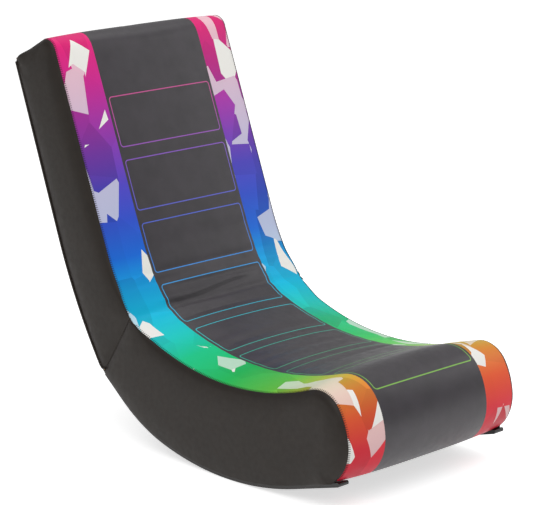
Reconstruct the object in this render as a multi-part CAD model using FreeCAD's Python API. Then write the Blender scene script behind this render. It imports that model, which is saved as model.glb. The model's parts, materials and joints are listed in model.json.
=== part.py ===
"""Floor rocker chair: an upholstered seat and a back that folds forward on two hinges.

Units are millimetres. The side outline is drawn in the YZ plane, y from the nose to the rear
and z up from the floor, and every layer is the same outline moved inwards by a named amount.
At the end the chair is moved so that its origin is the middle of its footprint.
"""
import FreeCAD, Part
import math
import os

# Overall size
CHAIR_WIDTH = 410.0
CROWN_RISE = 5.0
CENTRE_BAND_HALF = 122.0
SHOULDER_WIDTH = 14.0
SHOULDER_RISE = 3.0

# Rocker curve: the floor line under the seat, drawn from its lowest point
ROCKER_LOWEST_Y = 262.0
ROCKER_RADIUS = 541.0
ROCKER_FRONT_TURN = 15.4
ROCKER_REAR_TURN = 16.4
HEEL_RADIUS = 301.0
HEEL_TURN = 22.7

# Seat top line, from the foot of the nose back to the fold: radius and turn of each round stretch
NOSE_FOOT_Y = 25.8
NOSE_FOOT_Z = 54.5
NOSE_FOOT_HEADING = 139.9
HEM_RADIUS = 6.0
HEM_LENGTH = 32.0
NOSE_LOW_RADIUS = 73.0
NOSE_LOW_TURN = 56.4
NOSE_FRONT_RADIUS = 124.4
NOSE_FRONT_TURN = 26.1
NOSE_TOP_RADIUS = 51.0
NOSE_TOP_TURN = 69.0
THIGH_RADIUS = 100.0
THIGH_TURN = 8.6
HOLLOW_RADIUS = 490.0
HOLLOW_TURN = 44.9
LOIN_RADIUS = 126.0
LOIN_TURN = 17.4

# Back lines
BACK_START_HEADING = 51.2
LUMBAR_RADIUS = 400.0
LUMBAR_TURN = 18.1
BACK_STRAIGHT = 343.0
TOP_CORNER_RADIUS = 23.0
TOP_CORNER_TURN = 98.1
TOP_LENGTH = 76.0
BACK_DEPTH_AT_SPLIT = 128.0
REAR_START_HEADING = 56.4
REAR_RADIUS = 1000.0
REAR_TURN = 13.8
REAR_CORNER_RADIUS = 8.0

# Split between the two boxes
SPLIT_LEAN = 57.4
SPLIT_GAP = 0.3
FOLD_LIMIT = 110.0
FOLD_SPARE = 1.0

# Layers
COVER_THICK = 1.6
LAYER_GAP = 0.3
GLUED_GAP = 0.1
PAD_CAP_HEIGHT = 2.5
SEAT_FOAM = 38.0
BACK_FOAM = 9.0
TOP_FOAM = 10.0
SEAT_PANEL_THICK = 9.0
BACK_PANEL_THICK = 2.0
SEAT_BOARD_THICK = 18.0
BACK_BOARD_THICK = 8.0
FRONT_RAIL_THICK = 108.0
MIDDLE_RAIL_THICK = 18.0
BACK_RAIL_THICK = 9.0
HINGE_RAIL_THICK = 13.0
STOP_COVER_THICK = 1.2
SIDE_COVER_THICK = 3.0
SIDE_EDGE_BEVEL = 1.5
REAR_PANEL_THICK = 1.6
REAR_COVER_THICK = 1.0
PIPING_DIAMETER = 3.2
PIPING_SIDES = 8
DUST_CLOTH_THICK = 2.0

# Runners and glides
RUNNER_THICK = 7.0
RUNNER_WIDTH = 22.0
RUNNER_INSET = 7.0
UNDERSIDE_RISE = 8.8
SIDE_COVER_RISE = 6.0
GLIDE_LENGTH = 34.0
GLIDE_LEAD = 6.0
GLIDE_NOSE_ROUND = 3.0
RUNNER_HEEL_ROUND = 2.3

# Rails
SEAT_FRONT_RAIL_GAP = 2.0
SEAT_MIDDLE_RAIL_Y = 220.0
BACK_MIDDLE_RAIL_BELOW_TOP = 221.5
BLOCK_SIDE = 28.0
BLOCK_LENGTH = 60.0

# Hinges
HINGE_DEPTH = 6.0
HINGE_LENGTH = 72.0
HINGE_SIDE_INSET = 93.0
KNUCKLE_COUNT = 3
KNUCKLE_RADIUS = 3.0
KNUCKLE_GAP = 0.4
PIN_RADIUS = 1.5
PIN_CLEARANCE = 0.05
LEAF_THICK = 1.5
LEAF_WIDTH = 28.0
LEAF_SCREWS_DOWN = 17.5
LEAF_SEAT_SPARE = 0.1
SCREW_RADIUS = 2.0
SCREW_HEAD_RADIUS = 3.6
SCREW_HEAD_HEIGHT = 0.9
SCREW_LENGTH = 11.0
SCREW_HOLE_CLEARANCE = 0.1
HINGE_SCREWS = 2
HINGE_SCREW_PITCH = 42.0

# How far construction lines run past the chair, how far the lumbar curve is led past the split in
# degrees, and how deep the fold's wedge reaches
REACH = 1500.0
SPLIT_LEAD = 4.0
WEDGE_REACH = 63.0

HALF_WIDTH = CHAIR_WIDTH / 2
BODY_HALF = HALF_WIDTH - SIDE_COVER_THICK - 2 * LAYER_GAP
SEAT_RAIL_HALF = BODY_HALF - SEAT_BOARD_THICK
BACK_RAIL_HALF = BODY_HALF - BACK_BOARD_THICK
HINGE_CENTRE_X = HALF_WIDTH - HINGE_SIDE_INSET
TOP_OF_FOAM = COVER_THICK + LAYER_GAP
SEAT_PANEL_DEPTH = TOP_OF_FOAM + SEAT_FOAM + LAYER_GAP
SEAT_BOARD_DEPTH = SEAT_PANEL_DEPTH + SEAT_PANEL_THICK + LAYER_GAP
BACK_PANEL_DEPTH = TOP_OF_FOAM + BACK_FOAM + LAYER_GAP
BACK_BOARD_DEPTH = BACK_PANEL_DEPTH + BACK_PANEL_THICK + LAYER_GAP
TOP_BOARD_DEPTH = TOP_OF_FOAM + TOP_FOAM + LAYER_GAP
UNDER_BOARD_RISE = UNDERSIDE_RISE + DUST_CLOTH_THICK + LAYER_GAP
REAR_PANEL_DEPTH = REAR_COVER_THICK + LAYER_GAP
REAR_BOARD_DEPTH = REAR_PANEL_DEPTH + REAR_PANEL_THICK + LAYER_GAP
STOP_COVER_DEPTH = SPLIT_GAP
STOP_BOARD_DEPTH = SPLIT_GAP + STOP_COVER_THICK
BEHIND_HINGE_RAIL = STOP_BOARD_DEPTH + HINGE_RAIL_THICK + LAYER_GAP


def direction(heading):
    """Unit vector in the side plane, heading in degrees from +Y towards +Z."""
    return FreeCAD.Vector(0, math.cos(math.radians(heading)), math.sin(math.radians(heading)))


def inward(heading):
    """Unit vector to the right of the travel direction, which is the inside of every outline."""
    return direction(heading - 90)


class Outline:
    """A run of straight and round legs in the side plane, travelled with the inside on the right."""

    def __init__(self, start, heading, legs):
        self.start = start
        self.heading = heading
        self.legs = legs

    def edges(self, depth=0.0):
        """Edges of the outline moved inwards by depth, with its end point and end heading."""
        place = self.start + inward(self.heading) * depth
        heading = self.heading
        edges = []
        for radius, amount in self.legs:
            if radius is None:
                target = place + direction(heading) * amount
                edges.append(Part.LineSegment(place, target).toShape())
            else:
                bend = radius - depth if amount < 0 else radius + depth
                side = -1 if amount < 0 else 1
                centre = place - inward(heading) * (bend * side)
                middle = centre + inward(heading + amount / 2) * (bend * side)
                target = centre + inward(heading + amount) * (bend * side)
                edges.append(Part.Arc(place, middle, target).toShape())
                heading += amount
            place = target
        return edges, place, heading

    def end(self):
        """End point and end heading of the outline itself."""
        return self.edges()[1:]

    def turned_round(self):
        """The same line travelled the other way."""
        end, heading = self.end()
        legs = [(radius, amount if radius is None else -amount) for radius, amount in self.legs[::-1]]
        return Outline(end, heading + 180, legs)

    def led_in(self, angle):
        """The same line started earlier on its first round leg."""
        radius, amount = self.legs[0]
        back = Outline(self.start, self.heading + 180, [(radius, -math.copysign(angle, amount))])
        start, heading = back.end()
        legs = [(radius, amount + math.copysign(angle, amount))] + self.legs[1:]
        return Outline(start, heading - 180, legs)

    def inside(self, depth=0.0):
        """Face of everything to the right of the outline moved inwards by depth."""
        edges, end, end_heading = self.edges(depth)
        start = self.start + inward(self.heading) * depth
        before = start - direction(self.heading) * REACH
        after = end + direction(end_heading) * REACH
        far_end = after + inward(end_heading) * REACH
        far_start = before + inward(self.heading) * REACH
        corners = [end, after, far_end, far_start, before, start]
        closing = [Part.LineSegment(a, b).toShape() for a, b in zip(corners, corners[1:])]
        return Part.Face(Part.Wire(edges + closing))


def overlap(faces):
    """The part of the side plane that all the faces share."""
    result = faces[0]
    for face in faces[1:]:
        result = result.common(face)
    return result


def slab(face, low_x, high_x):
    """A face of the side plane made solid between two places across the chair."""
    moved = face.copy()
    moved.translate(FreeCAD.Vector(low_x, 0, 0))
    solid = moved.extrude(FreeCAD.Vector(high_x - low_x, 0, 0))
    return solid.Solids[0] if len(solid.Solids) == 1 else solid


def mirrored(shape):
    """The left-hand twin of a right-hand piece."""
    return shape.mirror(FreeCAD.Vector(0, 0, 0), FreeCAD.Vector(1, 0, 0))


def cross_bar(centre, radius, low_x, high_x):
    """Round bar across the chair."""
    base = FreeCAD.Vector(low_x, centre.y, centre.z)
    return Part.makeCylinder(radius, high_x - low_x, base, FreeCAD.Vector(1, 0, 0))


# Lines that the chair is built on
def rocker_line():
    """Floor line from the heel forward, with straight ends."""
    lowest = FreeCAD.Vector(0, ROCKER_LOWEST_Y, 0)
    to_rear = Outline(lowest, 0, [(ROCKER_RADIUS, ROCKER_REAR_TURN), (HEEL_RADIUS, HEEL_TURN)])
    rear_half = to_rear.turned_round()
    legs = rear_half.legs + [(ROCKER_RADIUS, -ROCKER_FRONT_TURN)]
    return Outline(rear_half.start, rear_half.heading, legs)


def nose_legs():
    """Legs from the foot of the nose back to the fold."""
    return [
        (NOSE_LOW_RADIUS, -NOSE_LOW_TURN),
        (NOSE_FRONT_RADIUS, -NOSE_FRONT_TURN),
        (NOSE_TOP_RADIUS, -NOSE_TOP_TURN),
        (THIGH_RADIUS, -THIGH_TURN),
        (HOLLOW_RADIUS, HOLLOW_TURN),
        (LOIN_RADIUS, LOIN_TURN),
    ]


def seat_line():
    """Seat surface at its side seam."""
    return Outline(FreeCAD.Vector(0, NOSE_FOOT_Y, NOSE_FOOT_Z), NOSE_FOOT_HEADING, nose_legs())


def seat_line_with_hem():
    """The same line with the hem that turns under the nose."""
    floor_heading = 180 - ROCKER_FRONT_TURN
    backwards = Outline(SEAT_LINE.start, NOSE_FOOT_HEADING + 180,
                        [(HEM_RADIUS, floor_heading - NOSE_FOOT_HEADING), (None, HEM_LENGTH)])
    hem = backwards.turned_round()
    return Outline(hem.start, hem.heading, hem.legs + nose_legs())


def seat_inner_line():
    """Seat line for the wooden parts: it drops straight down below the foremost point."""
    foremost_turn = NOSE_FOOT_HEADING - 90
    start = Outline(SEAT_LINE.start, NOSE_FOOT_HEADING, [(NOSE_LOW_RADIUS, -foremost_turn)]).end()[0]
    legs = nose_legs()
    legs[0] = (NOSE_LOW_RADIUS, foremost_turn - NOSE_LOW_TURN)
    return Outline(start, 90, legs)


def back_line():
    """Front surface of the back at its side seam, from the fold to past the top corner."""
    return Outline(FOLD, BACK_START_HEADING, [(LUMBAR_RADIUS, LUMBAR_TURN), (None, BACK_STRAIGHT)])


def back_line_over_top():
    """Front surface, top corner and top face."""
    legs = BACK_LINE.legs + [(TOP_CORNER_RADIUS, -TOP_CORNER_TURN), (None, TOP_LENGTH)]
    return Outline(FOLD, BACK_START_HEADING, legs)


def top_line():
    """Top face alone, which runs past both corners."""
    end, heading = BACK_LINE_OVER_TOP.end()
    return Outline(end - direction(heading) * TOP_LENGTH, heading, [(None, TOP_LENGTH)])


def rear_line():
    """Rear surface of the back, travelled downwards."""
    foot = FOLD + direction(-SPLIT_LEAN) * BACK_DEPTH_AT_SPLIT
    upwards = Outline(foot, REAR_START_HEADING, [(REAR_RADIUS, REAR_TURN)])
    return upwards.turned_round()


SEAT_LINE = seat_line()
SEAT_HEM_LINE = seat_line_with_hem()
SEAT_INNER_LINE = seat_inner_line()
ROCKER_LINE = rocker_line()
FOLD = SEAT_LINE.end()[0]
BACK_LINE = back_line()
BACK_LINE_OVER_TOP = back_line_over_top()
BACK_FRONT = BACK_LINE.led_in(SPLIT_LEAD)
BACK_OUTSIDE = BACK_LINE_OVER_TOP.led_in(SPLIT_LEAD)
TOP_LINE = top_line()
REAR_LINE = rear_line()
HINGE_AXIS = FOLD + direction(-SPLIT_LEAN) * HINGE_DEPTH
SEAT_SPLIT = Outline(HINGE_AXIS, -SPLIT_LEAN, [(None, BACK_DEPTH_AT_SPLIT)])
BACK_SPLIT = SEAT_SPLIT.turned_round()


def fold_notch():
    """Wedge in front of the hinge axis that the covers and pads need when the back folds."""
    middle = (BACK_START_HEADING + SEAT_LINE.end()[1] + 180) / 2
    spread = FOLD_LIMIT / 2 + FOLD_SPARE
    rays = [direction(heading) * WEDGE_REACH for heading in (middle - spread, middle, middle + spread)]
    corners = [HINGE_AXIS] + [HINGE_AXIS + ray for ray in rays] + [HINGE_AXIS]
    wedge = slab(Part.Face(Part.makePolygon(corners)), -HALF_WIDTH - CROWN_RISE, HALF_WIDTH + CROWN_RISE)
    tunnel = cross_bar(HINGE_AXIS, KNUCKLE_RADIUS + KNUCKLE_GAP, -BODY_HALF, BODY_HALF)
    return wedge, tunnel


def notched(shape):
    """A piece beside the fold, cut back from the hinge barrel and from the fold's wedge."""
    result = shape
    for tool in fold_notch():
        result = result.cut(tool)
    return result.Solids[0] if len(result.Solids) == 1 else result


# Soft layers
def section_point(outline, x, height):
    """Point over the start of an outline, x across the chair and height outwards."""
    return outline.start + FreeCAD.Vector(x, 0, 0) - inward(outline.heading) * height


def crown(outline, half_width, height, shoulder=False):
    """Crowned line across the chair, its ends at a height over the outline, from right to left."""
    places = [(half_width, 0), (CENTRE_BAND_HALF, CROWN_RISE)]
    if shoulder:
        places.insert(1, (half_width - SHOULDER_WIDTH, SHOULDER_RISE))
    right = [section_point(outline, -x, height + rise) for x, rise in places]
    left = [section_point(outline, x, height + rise) for x, rise in places[::-1]]
    return right + left


def swept(outline, corners):
    """Section with the given corners, carried along the whole outline."""
    section = Part.makePolygon(corners + corners[:1])
    band = Part.Wire(outline.edges()[0]).makePipeShell([section], True, False)
    return Part.Solid(band) if band.ShapeType == "Shell" else band


def cover_band(outline):
    """Printed cover along an outline, fuller at its shoulders."""
    under = crown(outline, HALF_WIDTH, -COVER_THICK)
    return swept(outline, crown(outline, HALF_WIDTH, 0, True) + under[::-1])


def crowned_pad(face, outline):
    """Foam slab of the given side face with a crowned cap on its sitting side."""
    body = slab(face, -BODY_HALF, BODY_HALF)
    foot = [section_point(outline, x, -TOP_OF_FOAM - PAD_CAP_HEIGHT) for x in (BODY_HALF, -BODY_HALF)]
    cap = swept(outline, crown(outline, BODY_HALF, -TOP_OF_FOAM) + foot)
    return body, cap


def seat_cover():
    """Printed seat cover, whose turned-under hem lies between the glides."""
    band = cover_band(SEAT_HEM_LINE)
    glide_inner_x = HALF_WIDTH - RUNNER_INSET - RUNNER_WIDTH - LAYER_GAP
    hem = SEAT_LINE.inside(COVER_THICK + GLUED_GAP)
    at_glide = ROCKER_LINE.turned_round().inside(-RUNNER_THICK - LAYER_GAP)
    for face in (hem, at_glide):
        tool = slab(face, glide_inner_x, HALF_WIDTH + CROWN_RISE)
        band = band.cut(tool).cut(mirrored(tool))
    return notched(band)


def seat_pad():
    """Seat foam: thicker under the nose, crowned across."""
    outer = SEAT_LINE.inside(TOP_OF_FOAM)
    inner = SEAT_INNER_LINE.inside(TOP_OF_FOAM + SEAT_FOAM)
    side = overlap([outer, ROCKER_LINE.inside(UNDER_BOARD_RISE), SEAT_SPLIT.inside(BEHIND_HINGE_RAIL)])
    body, cap = crowned_pad(side.cut(inner), SEAT_LINE)
    keep = slab(overlap([ROCKER_LINE.inside(UNDER_BOARD_RISE), SEAT_SPLIT.inside(BEHIND_HINGE_RAIL)]),
                -HALF_WIDTH, HALF_WIDTH)
    return notched(body.fuse(cap.common(keep)).removeSplitter())


def back_cover():
    """Printed back cover, over the top edge to the rear seam."""
    return notched(cover_band(BACK_LINE_OVER_TOP))


def back_pad():
    """Back foam with a thin roll over the top rail, crowned across."""
    outer = overlap([BACK_OUTSIDE.inside(TOP_OF_FOAM), REAR_LINE.inside(REAR_BOARD_DEPTH)])
    inner = overlap([BACK_FRONT.inside(TOP_OF_FOAM + BACK_FOAM), TOP_LINE.inside(TOP_OF_FOAM + TOP_FOAM)])
    side = overlap([outer, BACK_SPLIT.inside(BEHIND_HINGE_RAIL)])
    body, cap = crowned_pad(side.cut(inner), BACK_LINE_OVER_TOP)
    keep = slab(overlap([REAR_LINE.inside(REAR_BOARD_DEPTH), BACK_SPLIT.inside(BEHIND_HINGE_RAIL)]),
                -HALF_WIDTH, HALF_WIDTH)
    return notched(body.fuse(cap.common(keep)).removeSplitter())


# Seat unit
def seat_side():
    """Side outline shared by the seat's wooden parts."""
    return overlap([SEAT_INNER_LINE.inside(SEAT_BOARD_DEPTH), ROCKER_LINE.inside(UNDER_BOARD_RISE)])


def seat_board():
    """Right-hand rocker board."""
    side = overlap([seat_side(), SEAT_SPLIT.inside(STOP_BOARD_DEPTH)])
    return slab(side, -BODY_HALF, -SEAT_RAIL_HALF)


def seat_panel():
    """Bent panel that the foam lies on, from the foot of the nose to the hinge rail."""
    ring = SEAT_INNER_LINE.inside(SEAT_PANEL_DEPTH).cut(
        SEAT_INNER_LINE.inside(SEAT_PANEL_DEPTH + SEAT_PANEL_THICK))
    side = overlap([ring, ROCKER_LINE.inside(UNDER_BOARD_RISE), SEAT_SPLIT.inside(BEHIND_HINGE_RAIL)])
    return slab(side, -BODY_HALF, BODY_HALF)


def upright_rail(front_y, thick):
    """Cross rail of the seat that stands between panel and underside."""
    box = Part.makeBox(2 * SEAT_RAIL_HALF, thick, REACH,
                       FreeCAD.Vector(-SEAT_RAIL_HALF, front_y, -REACH / 2))
    return slab(seat_side(), -SEAT_RAIL_HALF, SEAT_RAIL_HALF).common(box).Solids[0]


def hinge_rail(split, limits):
    """Rail along the slanted split that carries the hinge leaves."""
    strip = split.inside(STOP_BOARD_DEPTH).cut(split.inside(STOP_BOARD_DEPTH + HINGE_RAIL_THICK))
    return overlap([strip] + limits)


def seat_hinge_rail():
    """Hinge rail of the seat, wider above the rocker boards than between them."""
    low = hinge_rail(SEAT_SPLIT, [SEAT_LINE.inside(TOP_OF_FOAM), ROCKER_LINE.inside(UNDER_BOARD_RISE)])
    high = low.cut(SEAT_INNER_LINE.inside(SEAT_BOARD_DEPTH))
    return slab(low, -SEAT_RAIL_HALF, SEAT_RAIL_HALF).fuse(slab(high, -BODY_HALF, BODY_HALF)).removeSplitter()


def seat_side_cover():
    """Right-hand black side cover with its thin padding, bevelled at its outer edges."""
    side = overlap([SEAT_LINE.inside(TOP_OF_FOAM), ROCKER_LINE.inside(SIDE_COVER_RISE),
                    SEAT_SPLIT.inside(SPLIT_GAP)])
    cover = slab(side, -HALF_WIDTH, -HALF_WIDTH + SIDE_COVER_THICK)
    return bevelled_outside(cover)


def bevelled_outside(cover):
    """Bevels the outer rim of a side cover."""
    rim = [edge for edge in cover.Edges if edge.BoundBox.XMax < -HALF_WIDTH + GLUED_GAP]
    return cover.makeChamfer(SIDE_EDGE_BEVEL, rim)


def seat_rear_cover():
    """Cover on the seat's slanted stop face, below the hinge barrels and cut out round the leaves."""
    strip = SEAT_SPLIT.inside(STOP_COVER_DEPTH).cut(SEAT_SPLIT.inside(STOP_BOARD_DEPTH - GLUED_GAP))
    side = overlap([strip, SEAT_LINE.inside(TOP_OF_FOAM + HINGE_DEPTH), ROCKER_LINE.inside(UNDERSIDE_RISE)])
    return slab(side, -BODY_HALF, BODY_HALF).cut(hinge_seats(SEAT_SPLIT)).Solids[0]


def dust_cloth():
    """Cloth that closes the underside between the runners, behind the hem."""
    ring = ROCKER_LINE.inside(UNDERSIDE_RISE).cut(ROCKER_LINE.inside(UNDERSIDE_RISE + DUST_CLOTH_THICK))
    hem_end = SEAT_HEM_LINE.start.y + 2 * LAYER_GAP
    behind_hem = Outline(FreeCAD.Vector(0, hem_end, 0), 90, [(None, REACH / 2)])
    side = overlap([ring, SEAT_SPLIT.inside(BEHIND_HINGE_RAIL), behind_hem.inside()])
    return slab(side, -BODY_HALF, BODY_HALF)


def runner_side():
    """Side outline of a whole runner with its glide."""
    ring = ROCKER_LINE.inside(0).cut(ROCKER_LINE.inside(RUNNER_THICK))
    front = Outline(FreeCAD.Vector(0, NOSE_FOOT_Y - GLIDE_LEAD, 0), 90, [(None, REACH / 2)])
    return overlap([ring, SEAT_SPLIT.inside(SPLIT_GAP), front.inside()])


def glide_end_y():
    """Where the glide stops and the runner strip starts."""
    return NOSE_FOOT_Y + GLIDE_LENGTH


def runner():
    """Right-hand runner strip, behind its glide."""
    low_x = -HALF_WIDTH + RUNNER_INSET
    behind = Outline(FreeCAD.Vector(0, glide_end_y() + LAYER_GAP, 0), 90, [(None, REACH / 2)])
    side = overlap([runner_side(), behind.inside()])
    strip = slab(side, low_x, low_x + RUNNER_WIDTH)
    heel = [edge for edge in strip.Edges
            if edge.BoundBox.YMin > FOLD.y and edge.BoundBox.XLength > RUNNER_WIDTH / 2]
    return strip.makeFillet(RUNNER_HEEL_ROUND, heel)


def glide():
    """Right-hand front glide with a round nose."""
    low_x = -HALF_WIDTH + RUNNER_INSET
    tail = Outline(FreeCAD.Vector(0, glide_end_y(), REACH / 2), 270, [(None, REACH / 2)])
    block = slab(overlap([runner_side(), tail.inside()]), low_x, low_x + RUNNER_WIDTH)
    front = NOSE_FOOT_Y - GLIDE_LEAD + LAYER_GAP
    nose = [edge for edge in block.Edges
            if edge.BoundBox.YMax < front and edge.BoundBox.XLength > RUNNER_WIDTH / 2]
    return block.makeFillet(GLIDE_NOSE_ROUND, nose)


# Hinge screws
def hinge_screw_places(split, centre_x):
    """Point on the visible face of one leaf, and direction, of each of its screws."""
    into = inward(split.heading)
    point = HINGE_AXIS + direction(-SPLIT_LEAN) * LEAF_SCREWS_DOWN + into * (KNUCKLE_RADIUS - LEAF_THICK)
    places = []
    for index in range(HINGE_SCREWS):
        x = centre_x + (index - (HINGE_SCREWS - 1) / 2) * HINGE_SCREW_PITCH
        places.append((FreeCAD.Vector(x, point.y, point.z), into))
    return places


def hinge_screws(split):
    """Screws of both leaves on one side of the split, with low round heads."""
    bodies = []
    for centre_x in (-HINGE_CENTRE_X, HINGE_CENTRE_X):
        for place, into in hinge_screw_places(split, centre_x):
            head = Part.makeCylinder(SCREW_HEAD_RADIUS, SCREW_HEAD_HEIGHT, place, into * -1)
            shank = Part.makeCylinder(SCREW_RADIUS, SCREW_LENGTH, place, into)
            bodies.append(head.fuse(shank))
    return Part.makeCompound(bodies)


def drilled(shape, split, centre_x):
    """A leaf or rail with clearance holes for the screws of one leaf."""
    holes = [Part.makeCylinder(SCREW_RADIUS + SCREW_HOLE_CLEARANCE, SCREW_LENGTH + SCREW_HOLE_CLEARANCE, *place)
             for place in hinge_screw_places(split, centre_x)]
    return shape.cut(Part.makeCompound(holes)).Solids[0]


# Hinges
def knuckles(centre_x):
    """Low and high end of each barrel piece, along the hinge pin."""
    pitch = HINGE_LENGTH / KNUCKLE_COUNT
    low = centre_x - HINGE_LENGTH / 2
    return [(low + index * pitch + KNUCKLE_GAP / 2, low + (index + 1) * pitch - KNUCKLE_GAP / 2)
            for index in range(KNUCKLE_COUNT)]


def hinge_leaf(split, centre_x, first, bore):
    """Leaf with every second barrel piece, starting with the one numbered first."""
    into = inward(split.heading)
    down = direction(-SPLIT_LEAN)
    near = HINGE_AXIS + into * (KNUCKLE_RADIUS - LEAF_THICK)
    deep = HINGE_AXIS + into * KNUCKLE_RADIUS
    plate_low = down * (KNUCKLE_RADIUS + KNUCKLE_GAP)
    plate_high = down * LEAF_WIDTH
    arm_end = down * (KNUCKLE_RADIUS + 2 * KNUCKLE_GAP)
    corners = [near + plate_low, near + plate_high, deep + plate_high, deep + plate_low, near + plate_low]
    leaf = slab(Part.Face(Part.makePolygon(corners)), centre_x - HINGE_LENGTH / 2, centre_x + HINGE_LENGTH / 2)
    for index, (low, high) in enumerate(knuckles(centre_x)):
        if index % 2 == first:
            arm = [near, near + arm_end, deep + arm_end, deep, near]
            leaf = leaf.fuse(slab(Part.Face(Part.makePolygon(arm)), low, high))
            leaf = leaf.fuse(cross_bar(HINGE_AXIS, KNUCKLE_RADIUS, low, high))
    leaf = leaf.cut(cross_bar(HINGE_AXIS, bore, centre_x - HINGE_LENGTH, centre_x + HINGE_LENGTH))
    return drilled(leaf.removeSplitter(), split, centre_x)


def hinge_pin(centre_x):
    """Pin through all the barrel pieces."""
    return cross_bar(HINGE_AXIS, PIN_RADIUS, centre_x - HINGE_LENGTH / 2, centre_x + HINGE_LENGTH / 2)


def hinge_seats(split):
    """Shallow recesses for the leaves and grooves for the barrels, in one rail."""
    into = inward(split.heading)
    down = direction(-SPLIT_LEAN)
    tools = []
    for centre_x in (-HINGE_CENTRE_X, HINGE_CENTRE_X):
        near = HINGE_AXIS + into * SPLIT_GAP
        deep = HINGE_AXIS + into * (KNUCKLE_RADIUS + LEAF_SEAT_SPARE)
        reach = down * (LEAF_WIDTH + LAYER_GAP)
        lift = down * -(KNUCKLE_RADIUS + KNUCKLE_GAP)
        corners = [near + lift, near + reach, deep + reach, deep + lift, near + lift]
        half = HINGE_LENGTH / 2 + LAYER_GAP
        tools.append(slab(Part.Face(Part.makePolygon(corners)), centre_x - half, centre_x + half))
    return Part.makeCompound(tools)


def finished_hinge_rail(rail, split):
    """Hinge rail with its recesses and screw holes."""
    result = notched(rail.cut(hinge_seats(split)))
    for centre_x in (-HINGE_CENTRE_X, HINGE_CENTRE_X):
        result = drilled(result, split, centre_x)
    return result


# Back unit
def back_side():
    """Side outline shared by the back's wooden parts."""
    return overlap([BACK_FRONT.inside(BACK_BOARD_DEPTH), TOP_LINE.inside(TOP_BOARD_DEPTH),
                    REAR_LINE.inside(REAR_BOARD_DEPTH)])


def back_board():
    """Right-hand side board of the back."""
    return slab(overlap([back_side(), BACK_SPLIT.inside(STOP_BOARD_DEPTH)]), -BODY_HALF, -BACK_RAIL_HALF)


def back_panel():
    """Panel under the back foam, from the hinge rail to the top."""
    ring = BACK_FRONT.inside(BACK_PANEL_DEPTH).cut(BACK_FRONT.inside(BACK_PANEL_DEPTH + BACK_PANEL_THICK))
    side = overlap([ring, TOP_LINE.inside(TOP_BOARD_DEPTH), BACK_SPLIT.inside(BEHIND_HINGE_RAIL)])
    return slab(side, -BODY_HALF, BODY_HALF)


def back_cross_rail(top_gap):
    """Cross rail of the back, parallel to its top and top_gap below the top rail's place."""
    top = TOP_BOARD_DEPTH + top_gap
    strip = TOP_LINE.inside(top).cut(TOP_LINE.inside(top + BACK_RAIL_THICK))
    return slab(overlap([back_side(), strip]), -BACK_RAIL_HALF, BACK_RAIL_HALF)


def back_hinge_rail():
    """Hinge rail of the back, wider in front of the side boards than between them."""
    low = hinge_rail(BACK_SPLIT, [BACK_FRONT.inside(TOP_OF_FOAM), REAR_LINE.inside(REAR_BOARD_DEPTH)])
    high = low.cut(BACK_FRONT.inside(BACK_BOARD_DEPTH))
    return slab(low, -BACK_RAIL_HALF, BACK_RAIL_HALF).fuse(slab(high, -BODY_HALF, BODY_HALF)).removeSplitter()


def back_side_cover():
    """Right-hand black side cover of the back, bevelled at its outer rim, round at its rear corners."""
    side = overlap([BACK_OUTSIDE.inside(TOP_OF_FOAM), REAR_LINE.inside(PIPING_DIAMETER + LAYER_GAP),
                    BACK_SPLIT.inside(SPLIT_GAP)])
    rear_end, rear_heading = REAR_LINE.end()
    top_end, top_heading = TOP_LINE.end()
    rounds = [corner_region(side, rear_end, rear_heading, BACK_SPLIT.heading, REAR_CORNER_RADIUS),
              corner_region(side, top_end, top_heading + 360, REAR_LINE.heading, REAR_CORNER_RADIUS)]
    cover = bevelled_outside(slab(side, -HALF_WIDTH, -HALF_WIDTH + SIDE_COVER_THICK))
    return cover.common(slab(overlap(rounds), -HALF_WIDTH, 0)).Solids[0]


def corner_region(face, near, arriving, leaving, radius):
    """Region that rounds the face's corner nearest to a place, met and left at the given headings."""
    corner = min((vertex.Point for vertex in face.Vertexes), key=lambda point: (point - near).Length)
    turn = arriving - leaving
    run = radius * math.tan(math.radians(turn / 2))
    return Outline(corner - direction(arriving) * run, arriving, [(radius, -turn)]).inside()


def rear_strip(depth, thick):
    """Side outline of a layer of the back's rear."""
    ring = REAR_LINE.inside(depth).cut(REAR_LINE.inside(depth + thick))
    return overlap([ring, TOP_LINE.inside(TOP_OF_FOAM)])


def rear_panel():
    """Thin panel that closes the back's rear."""
    side = overlap([rear_strip(REAR_PANEL_DEPTH, REAR_PANEL_THICK), BACK_SPLIT.inside(BEHIND_HINGE_RAIL)])
    return slab(side, -BODY_HALF, BODY_HALF)


def rear_cover():
    """Black cover of the back's rear."""
    side = overlap([rear_strip(0, REAR_COVER_THICK), BACK_SPLIT.inside(SPLIT_GAP)])
    return slab(side, -BODY_HALF, BODY_HALF)


def bottom_cover():
    """Cover on the back's slanted stop face, below the hinge barrels and cut out round the leaves."""
    strip = BACK_SPLIT.inside(STOP_COVER_DEPTH).cut(BACK_SPLIT.inside(STOP_BOARD_DEPTH - GLUED_GAP))
    side = overlap([strip, BACK_FRONT.inside(TOP_OF_FOAM + HINGE_DEPTH), REAR_LINE.inside(REAR_PANEL_DEPTH)])
    return slab(side, -BODY_HALF, BODY_HALF).cut(hinge_seats(BACK_SPLIT)).Solids[0]


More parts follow.
